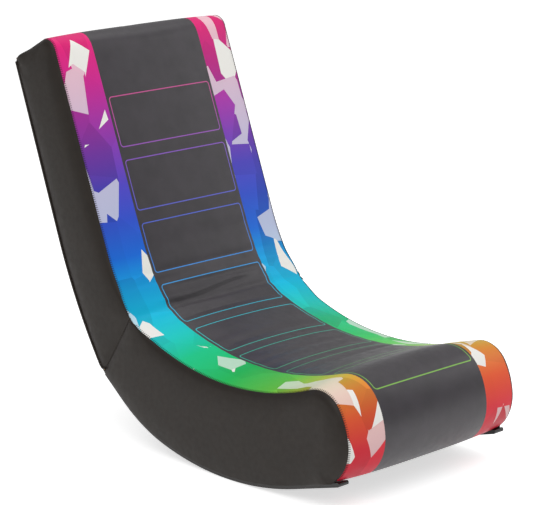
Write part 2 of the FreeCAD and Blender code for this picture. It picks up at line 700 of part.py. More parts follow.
def piping():
    """Right-hand piping along the rear edge, from the split to the top."""
    x = -HALF_WIDTH + PIPING_DIAMETER / 2
    top = REAR_LINE.start
    top_height = TOP_LINE.end()[0].z
    rise = (top_height - top.z) / math.sin(math.radians(REAR_LINE.heading - 180))
    legs = [(None, rise)] + REAR_LINE.legs
    line = Outline(top - direction(REAR_LINE.heading) * rise, REAR_LINE.heading, legs)
    edges = line.edges(PIPING_DIAMETER / 2)[0]
    path = Part.Wire(edges)
    path.translate(FreeCAD.Vector(x, 0, 0))
    start = path.OrderedVertexes[0].Point
    across_line = inward(REAR_LINE.heading)
    turns = [math.radians(360 / PIPING_SIDES * (index + 0.5)) for index in range(PIPING_SIDES)]
    reach = PIPING_DIAMETER / 2 / math.cos(math.pi / PIPING_SIDES)
    corners = [start + across_line * (reach * math.cos(turn)) + FreeCAD.Vector(reach * math.sin(turn), 0, 0)
               for turn in turns]
    tube = path.makePipeShell([Part.makePolygon(corners + corners[:1])], True, False)
    tube = Part.Solid(tube) if tube.ShapeType == "Shell" else tube
    keep = slab(overlap([BACK_SPLIT.inside(SPLIT_GAP), TOP_LINE.inside(TOP_OF_FOAM)]), -2 * HALF_WIDTH, 0)
    return tube.common(keep).Solids[0]


def glue_block(rail):
    """Upright three-cornered block in the angle between the right-hand board and a rail's rear face."""
    x = -SEAT_RAIL_HALF + LAYER_GAP
    y = rail.BoundBox.YMax + LAYER_GAP
    z = rail.CenterOfMass.z - BLOCK_LENGTH / 2
    corners = [FreeCAD.Vector(x, y, z), FreeCAD.Vector(x + BLOCK_SIDE, y, z), FreeCAD.Vector(x, y + BLOCK_SIDE, z)]
    return Part.Face(Part.makePolygon(corners + corners[:1])).extrude(FreeCAD.Vector(0, 0, BLOCK_LENGTH))


def seat_unit():
    """All pieces that stay with the seat, by name."""
    front_y = NOSE_FOOT_Y + SEAT_BOARD_DEPTH
    front_rail = upright_rail(front_y - SEAT_FRONT_RAIL_GAP, FRONT_RAIL_THICK)
    middle_rail = upright_rail(SEAT_MIDDLE_RAIL_Y - MIDDLE_RAIL_THICK / 2, MIDDLE_RAIL_THICK)
    board = seat_board()
    cover = notched(seat_side_cover())
    blocks = [glue_block(rail) for rail in (front_rail, middle_rail)]
    return {
        "seat_side_board_right": board,
        "seat_side_board_left": mirrored(board),
        "seat_front_rail": front_rail,
        "seat_middle_rail": middle_rail,
        "seat_hinge_rail": finished_hinge_rail(seat_hinge_rail(), SEAT_SPLIT),
        "seat_panel": seat_panel(),
        "seat_pad": seat_pad(),
        "seat_cover": seat_cover(),
        "seat_side_cover_right": cover,
        "seat_side_cover_left": mirrored(cover),
        "seat_rear_cover": notched(seat_rear_cover()),
        "seat_dust_cloth": dust_cloth(),
        "seat_glue_blocks": Part.makeCompound(blocks + [mirrored(block) for block in blocks]),
        "runner_right": runner(),
        "runner_left": mirrored(runner()),
        "front_glide_right": glide(),
        "front_glide_left": mirrored(glide()),
    }


def hinges():
    """Both hinges, by name, and the groups of their screws."""
    pieces = {}
    for name, centre_x in (("right", -HINGE_CENTRE_X), ("left", HINGE_CENTRE_X)):
        pieces["hinge_seat_leaf_" + name] = hinge_leaf(SEAT_SPLIT, centre_x, 0, PIN_RADIUS)
        pieces["hinge_back_leaf_" + name] = hinge_leaf(BACK_SPLIT, centre_x, 1, PIN_RADIUS + PIN_CLEARANCE)
        pieces["hinge_pin_" + name] = hinge_pin(centre_x)
    for name, split in (("seat", SEAT_SPLIT), ("back", BACK_SPLIT)):
        pieces["hinge_screws_" + name] = hinge_screws(split)
    return pieces


def back_unit():
    """All pieces that fold with the back, by name."""
    board = back_board()
    cover = notched(back_side_cover())
    return {
        "back_side_board_right": board,
        "back_side_board_left": mirrored(board),
        "back_top_rail": back_cross_rail(0),
        "back_middle_rail": back_cross_rail(BACK_MIDDLE_RAIL_BELOW_TOP),
        "back_hinge_rail": finished_hinge_rail(back_hinge_rail(), BACK_SPLIT),
        "back_panel": back_panel(),
        "back_pad": back_pad(),
        "back_cover": back_cover(),
        "back_side_cover_right": cover,
        "back_side_cover_left": mirrored(cover),
        "back_rear_panel": rear_panel(),
        "back_rear_cover": rear_cover(),
        "back_bottom_cover": notched(bottom_cover()),
        "back_piping_right": piping(),
        "back_piping_left": mirrored(piping()),
    }


def main():
    """Builds every piece, centres the chair on its footprint and writes one file per piece."""
    pieces = {**seat_unit(), **hinges(), **back_unit()}
    box = Part.makeCompound(list(pieces.values())).optimalBoundingBox(True, False)
    shift = FreeCAD.Vector(0, -(box.YMin + box.YMax) / 2, -box.ZMin)
    os.makedirs("parts", exist_ok=True)
    for name, shape in pieces.items():
        moved = shape.translated(shift)
        moved.exportStep(os.path.join("parts", name + ".step"))
    axis = HINGE_AXIS + shift
    print("hinge axis y %.3f z %.3f" % (axis.y, axis.z))
    print("size %.1f x %.1f x %.1f" % (box.XLength, box.YLength, box.ZLength), "shift", shift)


main()
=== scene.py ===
"""Floor rocker chair: its printed cover, black side covers, foam, seams and linings, and its finishes.

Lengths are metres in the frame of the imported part: +X to the sitter's left, -Y to the front, +Z up.
The side outlines are drawn in the YZ plane with the inside on the right of the line of travel.
"""

import json
import logging
import math
from dataclasses import dataclass, field
from enum import Enum
from functools import cached_property
from typing import Callable, Sequence

import bmesh
import bpy
from mathutils import Matrix, Vector, noise

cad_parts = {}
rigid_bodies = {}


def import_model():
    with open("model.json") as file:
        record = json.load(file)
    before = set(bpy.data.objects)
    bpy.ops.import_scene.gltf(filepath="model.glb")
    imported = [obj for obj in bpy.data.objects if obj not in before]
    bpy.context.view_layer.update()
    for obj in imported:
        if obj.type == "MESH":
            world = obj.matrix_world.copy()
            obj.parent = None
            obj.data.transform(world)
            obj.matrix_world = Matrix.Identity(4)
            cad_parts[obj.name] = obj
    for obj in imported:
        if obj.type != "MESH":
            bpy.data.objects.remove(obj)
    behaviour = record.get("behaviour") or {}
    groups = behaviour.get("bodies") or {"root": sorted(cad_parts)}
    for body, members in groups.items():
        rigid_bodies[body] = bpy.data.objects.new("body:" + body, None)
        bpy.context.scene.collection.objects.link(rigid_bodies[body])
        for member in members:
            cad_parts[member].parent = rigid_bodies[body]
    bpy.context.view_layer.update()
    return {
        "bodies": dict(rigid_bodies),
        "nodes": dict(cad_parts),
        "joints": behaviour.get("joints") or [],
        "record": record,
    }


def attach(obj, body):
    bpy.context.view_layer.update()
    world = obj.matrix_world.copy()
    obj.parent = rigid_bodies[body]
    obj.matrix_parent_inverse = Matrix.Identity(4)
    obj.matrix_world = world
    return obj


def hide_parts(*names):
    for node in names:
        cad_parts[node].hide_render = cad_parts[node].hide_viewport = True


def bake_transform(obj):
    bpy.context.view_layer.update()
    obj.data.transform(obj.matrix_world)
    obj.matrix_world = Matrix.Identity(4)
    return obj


LOG = logging.getLogger("rocker_chair")
MM = 0.001

Colour = tuple[float, float, float, float]
Place = Callable[[float, float], Vector]


class Side(Enum):
    """Side of the chair, as the sign of its x."""

    RIGHT = -1
    LEFT = 1


class Body(Enum):
    """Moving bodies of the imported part."""

    SEAT = "seat"
    BACK = "back"


# ---------------------------------------------------------------- side outlines
@dataclass(frozen=True)
class Leg:
    """One leg of an outline: an arc of a radius when it turns, else a straight run of a length."""

    size: float
    turn: float = 0.0

    @property
    def length(self) -> float:
        """Length along the leg."""
        return self.size * math.radians(abs(self.turn)) if self.turn else self.size


def heading_vector(heading: float) -> Vector:
    """Unit vector in the side plane, degrees from +Y towards +Z."""
    return Vector((0.0, math.cos(math.radians(heading)), math.sin(math.radians(heading))))


def outward(heading: float) -> Vector:
    """Unit vector to the left of the travel direction, which is the outside."""
    return heading_vector(heading + 90)


@dataclass(frozen=True)
class Outline:
    """A run of legs in the side plane, measured from its start; it runs straight on past both ends."""

    start: tuple[float, float]
    heading: float
    legs: tuple[Leg, ...]

    @property
    def length(self) -> float:
        """Length of all the legs."""
        return sum(leg.length for leg in self.legs)

    def frame(self, distance: float) -> tuple[Vector, float]:
        """Point and heading at a distance along the outline.

        Args:
            distance: metres from the start; it may lie before the start or past the end.

        Returns:
            The point, with x zero, and the heading in degrees.
        """
        place = Vector((0.0, *self.start))
        heading = self.heading
        if distance < 0:
            return place + heading_vector(heading) * distance, heading
        for leg in self.legs:
            run = min(distance, leg.length)
            if leg.turn:
                swing = leg.turn * run / leg.length
                side = 1 if leg.turn > 0 else -1
                centre = place + outward(heading) * (leg.size * side)
                place = centre - outward(heading + swing) * (leg.size * side)
                heading += swing
            else:
                place = place + heading_vector(heading) * run
            distance -= run
            if distance <= 1e-9:
                return place, heading
        return place + heading_vector(heading) * distance, heading

    def at(self, distance: float, height: float = 0.0, across: float = 0.0) -> Vector:
        """Point over the outline at a height outwards and a place across the chair."""
        place, heading = self.frame(distance)
        return place + outward(heading) * height + Vector((across, 0.0, 0.0))

    def turned_round(self) -> "Outline":
        """The same line travelled the other way, so that its outside swaps over too.

        Returns:
            The turned outline.
        """
        place, heading = self.frame(self.length)
        legs = tuple(Leg(leg.size, -leg.turn) for leg in reversed(self.legs))
        return Outline((place.y, place.z), heading + 180, legs)

    def polyline(self, step: float) -> list[Vector]:
        """Points along the outline, a step apart or closer."""
        count = max(2, math.ceil(self.length / step) + 1)
        return [self.at(self.length * index / (count - 1)) for index in range(count)]


def line_distance(point: Vector, line: Sequence[Vector]) -> float:
    """Smallest distance in the side plane from a point to a polyline.

    Args:
        point: a place in the side plane.
        line: points of the polyline.

    Returns:
        The distance.
    """
    best = math.inf
    for a, b in zip(line, line[1:]):
        edge_y, edge_z = b.y - a.y, b.z - a.z
        span = edge_y * edge_y + edge_z * edge_z
        if span < 1e-18:
            continue
        part = ((point.y - a.y) * edge_y + (point.z - a.z) * edge_z) / span
        part = min(1.0, max(0.0, part))
        gap_y = point.y - a.y - part * edge_y
        gap_z = point.z - a.z - part * edge_z
        best = min(best, gap_y * gap_y + gap_z * gap_z)
    return math.sqrt(best)


def smooth(value: float, low: float, high: float) -> float:
    """Smooth step of a value from 0 at low to 1 at high."""
    part = min(1.0, max(0.0, (value - low) / (high - low)))
    return part * part * (3 - 2 * part)


def between(value: float, stations: Sequence[tuple[float, float]]) -> float:
    """Value read from a table of stations, eased from each one to the next.

    Args:
        value: place to read at.
        stations: pairs of a place and its value, in order.

    Returns:
        The value there.
    """
    if value <= stations[0][0]:
        return stations[0][1]
    for (low, start), (high, end) in zip(stations, stations[1:]):
        if value <= high:
            return start + (end - start) * smooth(value, low, high)
    return stations[-1][1]


@dataclass(frozen=True)
class ChairLines:
    """The side outlines of the chair and its widths."""

    shift: float = 386.307 * MM
    side_half: float = 202.4 * MM
    body_half: float = 201.2 * MM
    shoulder_wide: float = 11.0 * MM
    shoulder_tight: float = 2.4 * MM
    seam_angle: float = 30.0
    edge_round: float = 1.0 * MM
    split_lean: float = 57.4
    split_depth: float = 128.0 * MM
    corner_round: float = 8.0 * MM
    underside_rise: float = 6.0 * MM
    hinge_depth: float = 6.0 * MM
    fold_limit: float = 110.0
    fold_spare: float = 1.0
    rear_heading: float = 56.4

    def seat(self) -> Outline:
        """Seat surface at its side seam, from the foot of the nose to the fold.

        Returns:
            The outline.
        """
        legs = (Leg(73.0 * MM, -56.4), Leg(124.4 * MM, -26.1), Leg(51.0 * MM, -69.0), Leg(100.0 * MM, -8.6),
                Leg(490.0 * MM, 44.9), Leg(126.0 * MM, 17.4))
        return Outline((25.8 * MM - self.shift, 54.5 * MM), 139.9, legs)

    @cached_property
    def fold_station(self) -> float:
        """Distance of the fold from the foot of the nose."""
        return self.seat().length

    @cached_property
    def rear_station(self) -> float:
        """Distance of the top's rear corner from the foot of the nose."""
        return self.fold_station + self.back().length

    def shoulder(self, along: float) -> float:
        """Radius of the rounded shoulder at a distance from the foot, tight at the fold and the rear.

        Args:
            along: distance from the foot of the nose.

        Returns:
            The radius.
        """
        off_fold, off_rear = abs(along - self.fold_station), self.rear_station - along
        eased = smooth(off_fold, 20 * MM, 62 * MM) * smooth(off_rear, 12 * MM, 42 * MM)
        return self.shoulder_tight + (self.shoulder_wide - self.shoulder_tight) * eased

    def seam(self, along: float) -> tuple[float, float]:
        """Half width of the print and depth of its seam under the outline, at a distance from the foot."""
        radius, angle = self.shoulder(along), math.radians(self.seam_angle)
        return self.side_half - radius * (1 - math.sin(angle)), radius * (1 - math.cos(angle))

    def fold(self) -> Vector:
        """Fold line's point in the side plane."""
        seat = self.seat()
        return seat.at(seat.length)

    def axis(self) -> Vector:
        """Hinge axis of the back, a little below the fold line."""
        return self.fold() + heading_vector(-self.split_lean) * self.hinge_depth

    def clearance(self, body: Body) -> float:
        """Heading, away from the body, of the plane that keeps its covers clear of the fold's wedge.

        Args:
            body: body that the covers belong to.

        Returns:
            The heading, in degrees.
        """
        middle = (self.back().heading + self.seat().frame(self.seat().length)[1] + 180) / 2
        spread = self.fold_limit / 2 + self.fold_spare
        return middle + spread - 90 if body is Body.SEAT else middle - spread + 90

    def back(self) -> Outline:
        """Front of the back from the fold, the top corner, the top and its rear corner.

        Returns:
            The outline.
        """
        fold = self.fold()
        rear_turn = 81.0
        trimmed = self.corner_round * math.tan(math.radians(rear_turn / 2))
        legs = (Leg(400.0 * MM, 18.1), Leg(343.0 * MM), Leg(23.0 * MM, -98.1), Leg(76.0 * MM - trimmed),
                Leg(self.corner_round, -rear_turn))
        return Outline((fold.y, fold.z), 51.2, legs)

    def cover(self) -> Outline:
        """The line of the printed cover: seat, an eased crease at the fold, and back.

        Returns:
            The outline.
        """
        seat, back = self.seat(), self.back()
        eased = 2.0 * MM
        loin, lumbar = seat.legs[-1], back.legs[0]
        loin_turn = math.degrees(eased / loin.size)
        lumbar_turn = math.degrees(eased / lumbar.size)
        crease_turn = back.heading - (seat.frame(seat.length)[1]) + loin_turn + lumbar_turn
        crease = Leg(2 * eased / math.radians(crease_turn), crease_turn)
        legs = (*seat.legs[:-1], Leg(loin.size, loin.turn - loin_turn), crease,
                Leg(lumbar.size, lumbar.turn - lumbar_turn), *back.legs[1:])
        return Outline(seat.start, seat.heading, legs)

    def split(self) -> Outline:
        """The slanted split, from the fold down to the rear."""
        fold = self.fold()
        return Outline((fold.y, fold.z), -self.split_lean, (Leg(self.split_depth),))

    def rear(self, radius: float = 8.0 * MM) -> Outline:
        """Rear of the back, from its bottom corner of a radius on the split up to the top rear corner.

        Args:
            radius: radius of the bottom corner.

        Returns:
            The outline.
        """
        foot = self.split().at(self.split_depth)
        trimmed = radius * math.tan(math.radians((self.rear_heading + self.split_lean) / 2))
        start = foot - heading_vector(-self.split_lean) * trimmed
        curve = Leg(1000.0 * MM, 13.8)
        used = math.degrees(trimmed / curve.size)
        corner = Leg(radius, self.rear_heading + used + self.split_lean)
        probe = Outline((start.y, start.z), -self.split_lean, (corner, Leg(curve.size, curve.turn - used)))
        knee, heading = probe.frame(probe.length)
        top, _ = self.back().frame(self.back().length)
        straight = (top - knee).dot(heading_vector(heading))
        return Outline(probe.start, probe.heading, (*probe.legs, Leg(straight)))

    def rocker(self) -> Outline:
        """Floor line from the front to the heel, with straight ends.

        Returns:
            The outline.
        """
        lowest = Vector((0.0, 262.0 * MM - self.shift, 0.0))
        front = Outline((lowest.y, lowest.z), 180.0, (Leg(541.0 * MM, -15.4), Leg(120.0 * MM))).turned_round()
        legs = (*front.legs, Leg(541.0 * MM, 16.4), Leg(301.0 * MM, 22.7), Leg(90.0 * MM))
        return Outline(front.start, front.heading, legs)

    def hem(self) -> Outline:
        """Turned-under hem below the nose, from its rear end to the foot of the nose.

        Returns:
            The outline.
        """
        seat = self.seat()
        backwards = Outline(seat.start, seat.heading + 180, (Leg(6.0 * MM, 24.7), Leg(32.0 * MM)))
        return backwards.turned_round()


# ---------------------------------------------------------------- meshes
def stations(length: float, step: float, fine: Sequence[float] = (), start: float = 0.0) -> list[float]:
    """Places along a length, a step apart, with closer ones at given distances from both ends.

    Args:
        length: end of the run.
        step: spacing in the middle.
        fine: distances from each end that get a place of their own.
        start: beginning of the run.

    Returns:
        The places in order.
    """
    span = length - start
    edge = max(fine, default=0.0)
    inner = max(1, round((span - 2 * edge) / step))
    middle = [start + edge + (span - 2 * edge) * index / inner for index in range(inner + 1)]
    low = [start] + [start + value for value in fine if value < edge]
    high = [length - value for value in reversed(fine) if value < edge] + [length]
    return sorted({round(value, 7) for value in low + middle + high})


def mesh_object(name: str, bm: bmesh.types.BMesh, shaded_smooth: bool = True) -> bpy.types.Object:
    """Turns a finished bmesh into an object of the scene.

    Args:
        name: name of the piece.
        bm: the mesh, which is freed.
        shaded_smooth: whether its faces are shaded smooth.

    Returns:
        The object, at the origin and unturned.
    """
    mesh = bpy.data.meshes.new(name)
    for face in bm.faces:
        face.smooth = shaded_smooth
    bm.to_mesh(mesh)
    bm.free()
    piece = bpy.data.objects.new(name, mesh)
    bpy.context.scene.collection.objects.link(piece)
    return piece


def laid_grid(columns: Sequence[float], rows: Sequence[float], place: Place) -> bmesh.types.BMesh:
    """A grid laid on a surface, with a UV map of its own two distances.

    Args:
        columns: first distance of each line of points.
        rows: second distance of each line of points.
        place: gives the point for a pair of distances.

    Returns:
        The bmesh of the grid.
    """
    bm = bmesh.new()
    wide, long = len(columns) - 1, len(rows) - 1
    bmesh.ops.create_grid(bm, x_segments=wide, y_segments=long, size=1.0)
    layer = bm.loops.layers.uv.new("surface")
    for vert in bm.verts:
        column = round((vert.co.x + 1) / 2 * wide)
        row = round((vert.co.y + 1) / 2 * long)
        for loop in vert.link_loops:
            loop[layer].uv = (columns[column], rows[row])
        vert.co = (column, row, 0)
    for vert in bm.verts:
        vert.co = place(columns[round(vert.co.x)], rows[round(vert.co.y)])
    return bm


def thicken(piece: bpy.types.Object, thickness: float) -> bpy.types.Object:
    """Gives an open sheet its thickness, inwards from its outer face.

    Args:
        piece: the sheet.
        thickness: its thickness.

    Returns:
        The same sheet.
    """
    wall = piece.modifiers.new("thickness", "SOLIDIFY")
    wall.thickness = thickness
    wall.offset = -1
    wall.use_rim = True
    return piece


def tube(name: str, line: Sequence[Vector], radius: float, sides: int = 10) -> bpy.types.Object:
    """A round cord along a line, closed at both ends.

    Args:
        name: name of the piece.
        line: points of the centre line.
        radius: radius of the cord.
        sides: sides of its section.

    Returns:
        The object.
    """
    bm = bmesh.new()
    heading = (line[1] - line[0]).normalized()
    turned = heading.to_track_quat("Z", "X").to_matrix().to_4x4()
    ring = bmesh.ops.create_circle(bm, cap_ends=True, segments=sides, radius=radius,
                                   matrix=Matrix.Translation(line[0]) @ turned)["verts"]
    for index in range(1, len(line)):
        ahead = (line[min(index + 1, len(line) - 1)] - line[index - 1]).normalized()
        swing = heading.rotation_difference(ahead).to_matrix()
        edges = list({edge for vert in ring for edge in vert.link_edges
                      if edge.verts[0] in ring and edge.verts[1] in ring})
        grown = bmesh.ops.extrude_edge_only(bm, edges=edges)["geom"]
        ring = [item for item in grown if isinstance(item, bmesh.types.BMVert)]
        bmesh.ops.translate(bm, verts=ring, vec=line[index] - line[index - 1])
        bmesh.ops.rotate(bm, verts=ring, cent=line[index], matrix=swing)
        heading = ahead
    rim = list({edge for vert in ring for edge in vert.link_edges
                if edge.verts[0] in ring and edge.verts[1] in ring})
    bmesh.ops.contextual_create(bm, geom=rim)
    bmesh.ops.recalc_face_normals(bm, faces=bm.faces[:])
    return mesh_object(name, bm)


def mirrored(piece: bpy.types.Object, name: str) -> bpy.types.Object:
    """The twin of a piece on the other side of the chair.

    Args:
        piece: piece on one side.
        name: name of the twin.

    Returns:
        The twin, with the same modifiers.
    """
    bm = bmesh.new()
    bm.from_mesh(piece.data)
    bmesh.ops.scale(bm, vec=(-1, 1, 1), verts=bm.verts[:])
    bmesh.ops.reverse_faces(bm, faces=bm.faces[:])
    twin = mesh_object(name, bm)
    for wall in piece.modifiers:
        thicken(twin, wall.thickness)
    return twin


# ---------------------------------------------------------------- materials
def linear(hex_colour: str) -> Colour:
    """Scene-linear colour of an sRGB hex colour such as "#A0B1C2".

    Args:
        hex_colour: the colour as written.

    Returns:
        The colour, with an alpha of 1.
    """
    values = [int(hex_colour[index:index + 2], 16) / 255 for index in (1, 3, 5)]
    straight = [value / 12.92 if value <= 0.04045 else ((value + 0.055) / 1.055) ** 2.4 for value in values]
    return (*straight, 1.0)


def per_mm(size: float) -> float:
    """Texture scale, in repeats a metre, of a pattern whose repeat is a size in millimetres."""
    return 1000.0 / size


# Sockets of a Mix node that mixes colours: factor and both colours, and the mixed colour
FACTOR, FIRST, SECOND, MIXED = 0, 6, 7, 2


class Graph:
    """Node tree of one material, with its shader."""

    def __init__(self, name: str) -> None:
        """Makes an empty material with one shader.

        Args:
            name: name of the material, its real stuff and finish.
        """
        self.material = bpy.data.materials.new(name)
        self.material.use_nodes = True
        self.tree = self.material.node_tree
        self.tree.nodes.clear()
        self.output = self.tree.nodes.new("ShaderNodeOutputMaterial")
        self.shader = self.tree.nodes.new("ShaderNodeBsdfPrincipled")
        self.tree.links.new(self.shader.outputs[0], self.output.inputs["Surface"])

    def add(self, kind: str, inputs: dict | tuple = (), out: int | str = 0,
            **settings: object) -> bpy.types.NodeSocket:
        """Adds one node with its settings and links.

        Args:
            kind: node type without its common prefix.
            inputs: values or sockets for its inputs, by name or number, or in their order.
            out: name or number of the output that is wanted.
            settings: properties of the node.

        Returns:
            The output.
        """
        node = self.tree.nodes.new("ShaderNode" + kind)
        for key, value in settings.items():
            setattr(node, key, value)
        given = inputs if isinstance(inputs, dict) else dict(enumerate(inputs))
        for key, value in given.items():
            self.feed(node.inputs[key], value)
        return node.outputs[out]

    def feed(self, socket: bpy.types.NodeSocket, value: object) -> None:
        """Links a socket to another, or sets its value.

        Args:
            socket: an input.
            value: an output to link to it, or its value.
        """
        if isinstance(value, bpy.types.NodeSocket):
            self.tree.links.new(value, socket)
        else:
            socket.default_value = value

    def finish(self, **values: object) -> bpy.types.Material:
        """Feeds the shader by input name, with _ for a space, and returns the material.

        Args:
            values: value or output for each input.

        Returns:
            The material.
        """
        for key, value in values.items():
            self.feed(self.shader.inputs[key.replace("_", " ")], value)
        return self.material


@dataclass(frozen=True)
class Leatherette:
    """Soft-sheen leatherette with a fine pebbled grain and slow swells."""

    name: str
    colour: str
    roughness: float = 0.5
    grain: float = 1.1
    grain_height: float = 0.05 * MM
    swell: float = 60.0
    swell_height: float = 0.5 * MM

    def make(self) -> bpy.types.Material:
        """Builds the material.

        Returns:
            The material.
        """
        graph = Graph(self.name)
        place = graph.add("TexCoord", out="Object")
        base = linear(self.colour)
        darker = tuple(value * 0.82 for value in base[:3]) + (1.0,)
        cells = graph.add("TexVoronoi", {"Vector": place, "Scale": per_mm(self.grain)}, "Distance")
        swells = graph.add("TexNoise", {"Vector": place, "Scale": per_mm(self.swell), "Detail": 1.5})
        normal = graph.add("Bump", {"Distance": self.swell_height, "Height": swells})
        normal = graph.add("Bump", {"Distance": self.grain_height, "Height": cells, "Normal": normal})
        clouds = graph.add("TexNoise", {"Vector": place, "Scale": per_mm(22.0), "Detail": 3.0})
        clouds = graph.add("MapRange", (clouds, 0.35, 0.7))
        mottled = graph.add("Mix", {FACTOR: clouds, FIRST: base, SECOND: darker}, MIXED, data_type="RGBA")
        duller, glossier = self.roughness + 0.05, self.roughness - 0.05
        wear = graph.add("TexNoise", {"Vector": place, "Scale": per_mm(9.0), "Detail": 2.0})
        rough = graph.add("MapRange", (wear, 0.3, 0.7, glossier, duller))
        return graph.finish(Base_Color=mottled, Roughness=rough, Specular_IOR_Level=0.3, Normal=normal)


@dataclass(frozen=True)
class PrintedLeatherette:
    """Printed leatherette: charcoal centre with outlined panels between two rainbow bands of shards.

    Its UV map holds the place across the chair and the distance from the foot of the nose, in metres.
    """

    name: str = "printed leatherette, soft sheen"
    charcoal: str = "#332E34"
    charcoal_worn: str = "#2B272C"
    shard_white: str = "#EFEDE8"
    band_half: float = 121.7 * MM
    panel_half: float = 115.5 * MM
    panel_long: float = 87.0 * MM
    panel_pitch: float = 110.4 * MM
    first_panel: float = 140.5 * MM
    last_panel: float = 1000.3 * MM
    panel_round: float = 5.5 * MM
    line: float = 1.7 * MM
    whole: float = 1230.0 * MM
    bands: tuple[tuple[float, str], ...] = (
        (0.0, "#D3263F"), (60.0, "#DB3340"), (110.0, "#E45E38"), (150.0, "#DD8434"), (190.0, "#C9AE30"),
        (240.0, "#A4C235"), (300.0, "#66C846"), (400.0, "#22C45F"), (500.0, "#0CCB8B"), (560.0, "#0ECDC6"),
        (620.0, "#06C0E4"), (680.0, "#109FE2"), (730.0, "#1C6BD6"), (790.0, "#3453C8"), (850.0, "#5248C0"),
        (910.0, "#8040B4"), (970.0, "#AA37A6"), (1030.0, "#CE2C92"), (1100.0, "#E6287C"), (1212.0, "#EC2E6C"))
    lines: tuple[tuple[float, str], ...] = (
        (120.0, "#7FB53C"), (230.0, "#59A94A"), (330.0, "#35A767"), (430.0, "#20AC8C"), (530.0, "#16B9B7"),
        (630.0, "#15A9DA"), (700.0, "#2B84DC"), (780.0, "#4E62CE"), (850.0, "#6D55C6"), (900.0, "#8C4FBF"),
        (950.0, "#B249A6"), (1000.0, "#C8468F"))

    def colour_along(self, graph: Graph, along: bpy.types.NodeSocket,
                     colours: Sequence[tuple[float, str]]) -> bpy.types.NodeSocket:
        """Colour along the chair from stations in millimetres.

        Args:
            graph: node tree of the print.
            along: distance from the foot of the nose.
            colours: distance and colour of each station.

        Returns:
            The colour.
        """
        share = graph.add("Math", (along, self.whole), operation="DIVIDE")
        blended = graph.add("ValToRGB", (share,))
        ramp = blended.node.color_ramp
        while len(ramp.elements) > 1:
            ramp.elements.remove(ramp.elements[-1])
        ramp.elements[0].position = colours[0][0] * MM / self.whole
        ramp.elements[0].color = linear(colours[0][1])
        for distance, colour in colours[1:]:
            ramp.elements.new(distance * MM / self.whole).color = linear(colour)
        return blended

    def shards(self, graph: Graph, uv: bpy.types.NodeSocket, turn: float, size: tuple[float, float],
               shift: float) -> bpy.types.NodeSocket:
        """Random value of each angular shard of one layer.

        Args:
            graph: node tree of the print.
            uv: the cover's own UV map.
            turn: turn of the layer, in degrees.
            size: width and length of a shard, in millimetres.
            shift: shift of the layer, in shards.

        Returns:
            The value, from 0 to 1.
        """
        turned = graph.add("Mapping", {"Vector": uv, "Location": (shift, shift * 0.37, 0.0),
                                       "Rotation": (0.0, 0.0, math.radians(turn)),
                                       "Scale": (per_mm(size[0]), per_mm(size[1]), 1.0)})
        cells = graph.add("TexVoronoi", {"Vector": turned, "Scale": 1.0, "Randomness": 1.0}, "Color",
                          voronoi_dimensions="2D")
        return graph.add("SeparateColor", (cells,))

    def make(self) -> bpy.types.Material:
        """Builds the material.

        Returns:
            The material.
        """
        graph = Graph(self.name)
        uv = graph.add("UVMap", uv_map="surface")
        parts = graph.add("SeparateXYZ", (uv,)).node.outputs
        across, along = graph.add("Math", (parts[0],), operation="ABSOLUTE"), parts[1]
        on_band = graph.add("Math", (across, self.band_half), operation="GREATER_THAN")
        colour = graph.add("Mix", {FACTOR: on_band, FIRST: self.centre(graph, across, along),
                                   SECOND: self.band(graph, uv, along)}, MIXED, data_type="RGBA")
        place = graph.add("TexCoord", out="Object")
        cells = graph.add("TexVoronoi", {"Vector": place, "Scale": per_mm(1.0)}, "Distance")
        swells = graph.add("TexNoise", {"Vector": place, "Scale": per_mm(45.0), "Detail": 1.5})
        normal = graph.add("Bump", {"Distance": 0.35 * MM, "Height": swells})
        normal = graph.add("Bump", {"Distance": 0.035 * MM, "Height": cells, "Normal": normal})
        wear = graph.add("TexNoise", {"Vector": place, "Scale": per_mm(12.0), "Detail": 2.0})
        rough = graph.add("MapRange", (wear, 0.3, 0.7, 0.36, 0.44))
        sheen = graph.add("MapRange", (on_band, 0.0, 1.0, 0.5, 0.12))
        return graph.finish(Base_Color=colour, Roughness=rough, Specular_IOR_Level=sheen, Normal=normal)

    def band(self, graph: Graph, uv: bpy.types.NodeSocket,
             along: bpy.types.NodeSocket) -> bpy.types.NodeSocket:
        """Colour of the side bands: a rainbow in shaded, pale and white shards.

        Args:
            graph: node tree of the print.
            uv: the cover's own UV map.
            along: distance from the foot of the nose.

        Returns:
            The colour.
        """
        rainbow = self.colour_along(graph, along, self.bands)
        tone = self.shards(graph, uv, turn=24.0, size=(50.0, 78.0), shift=3.1)
        shade = graph.add("MapRange", (tone, 0.0, 1.0, 0.76, 1.12))
        grey = graph.add("CombineColor", (shade, shade, shade))
        shaded = graph.add("Mix", {FACTOR: 1.0, FIRST: rainbow, SECOND: grey}, MIXED, data_type="RGBA",
                           blend_type="MULTIPLY")
        light = self.shards(graph, uv, turn=-31.0, size=(40.0, 62.0), shift=7.7)
        chip = self.shards(graph, uv, turn=62.0, size=(42.0, 68.0), shift=14.9)
        pale = graph.add("Math", (graph.add("Math", (light, 0.4), operation="LESS_THAN"),
                                  graph.add("Math", (tone, 0.45), operation="LESS_THAN")),
                         operation="MULTIPLY")
        pale = graph.add("Math", (pale, 0.5), operation="MULTIPLY")
        paler = graph.add("Mix", {FACTOR: pale, FIRST: shaded, SECOND: linear("#FFFFFF")}, MIXED,
                          data_type="RGBA")
        white = graph.add("Math", (graph.add("Math", (light, 0.64), operation="GREATER_THAN"),
                                   graph.add("Math", (chip, 0.3), operation="LESS_THAN")),
                          operation="MULTIPLY")
        return graph.add("Mix", {FACTOR: white, FIRST: paler, SECOND: linear(self.shard_white)}, MIXED,
                         data_type="RGBA")

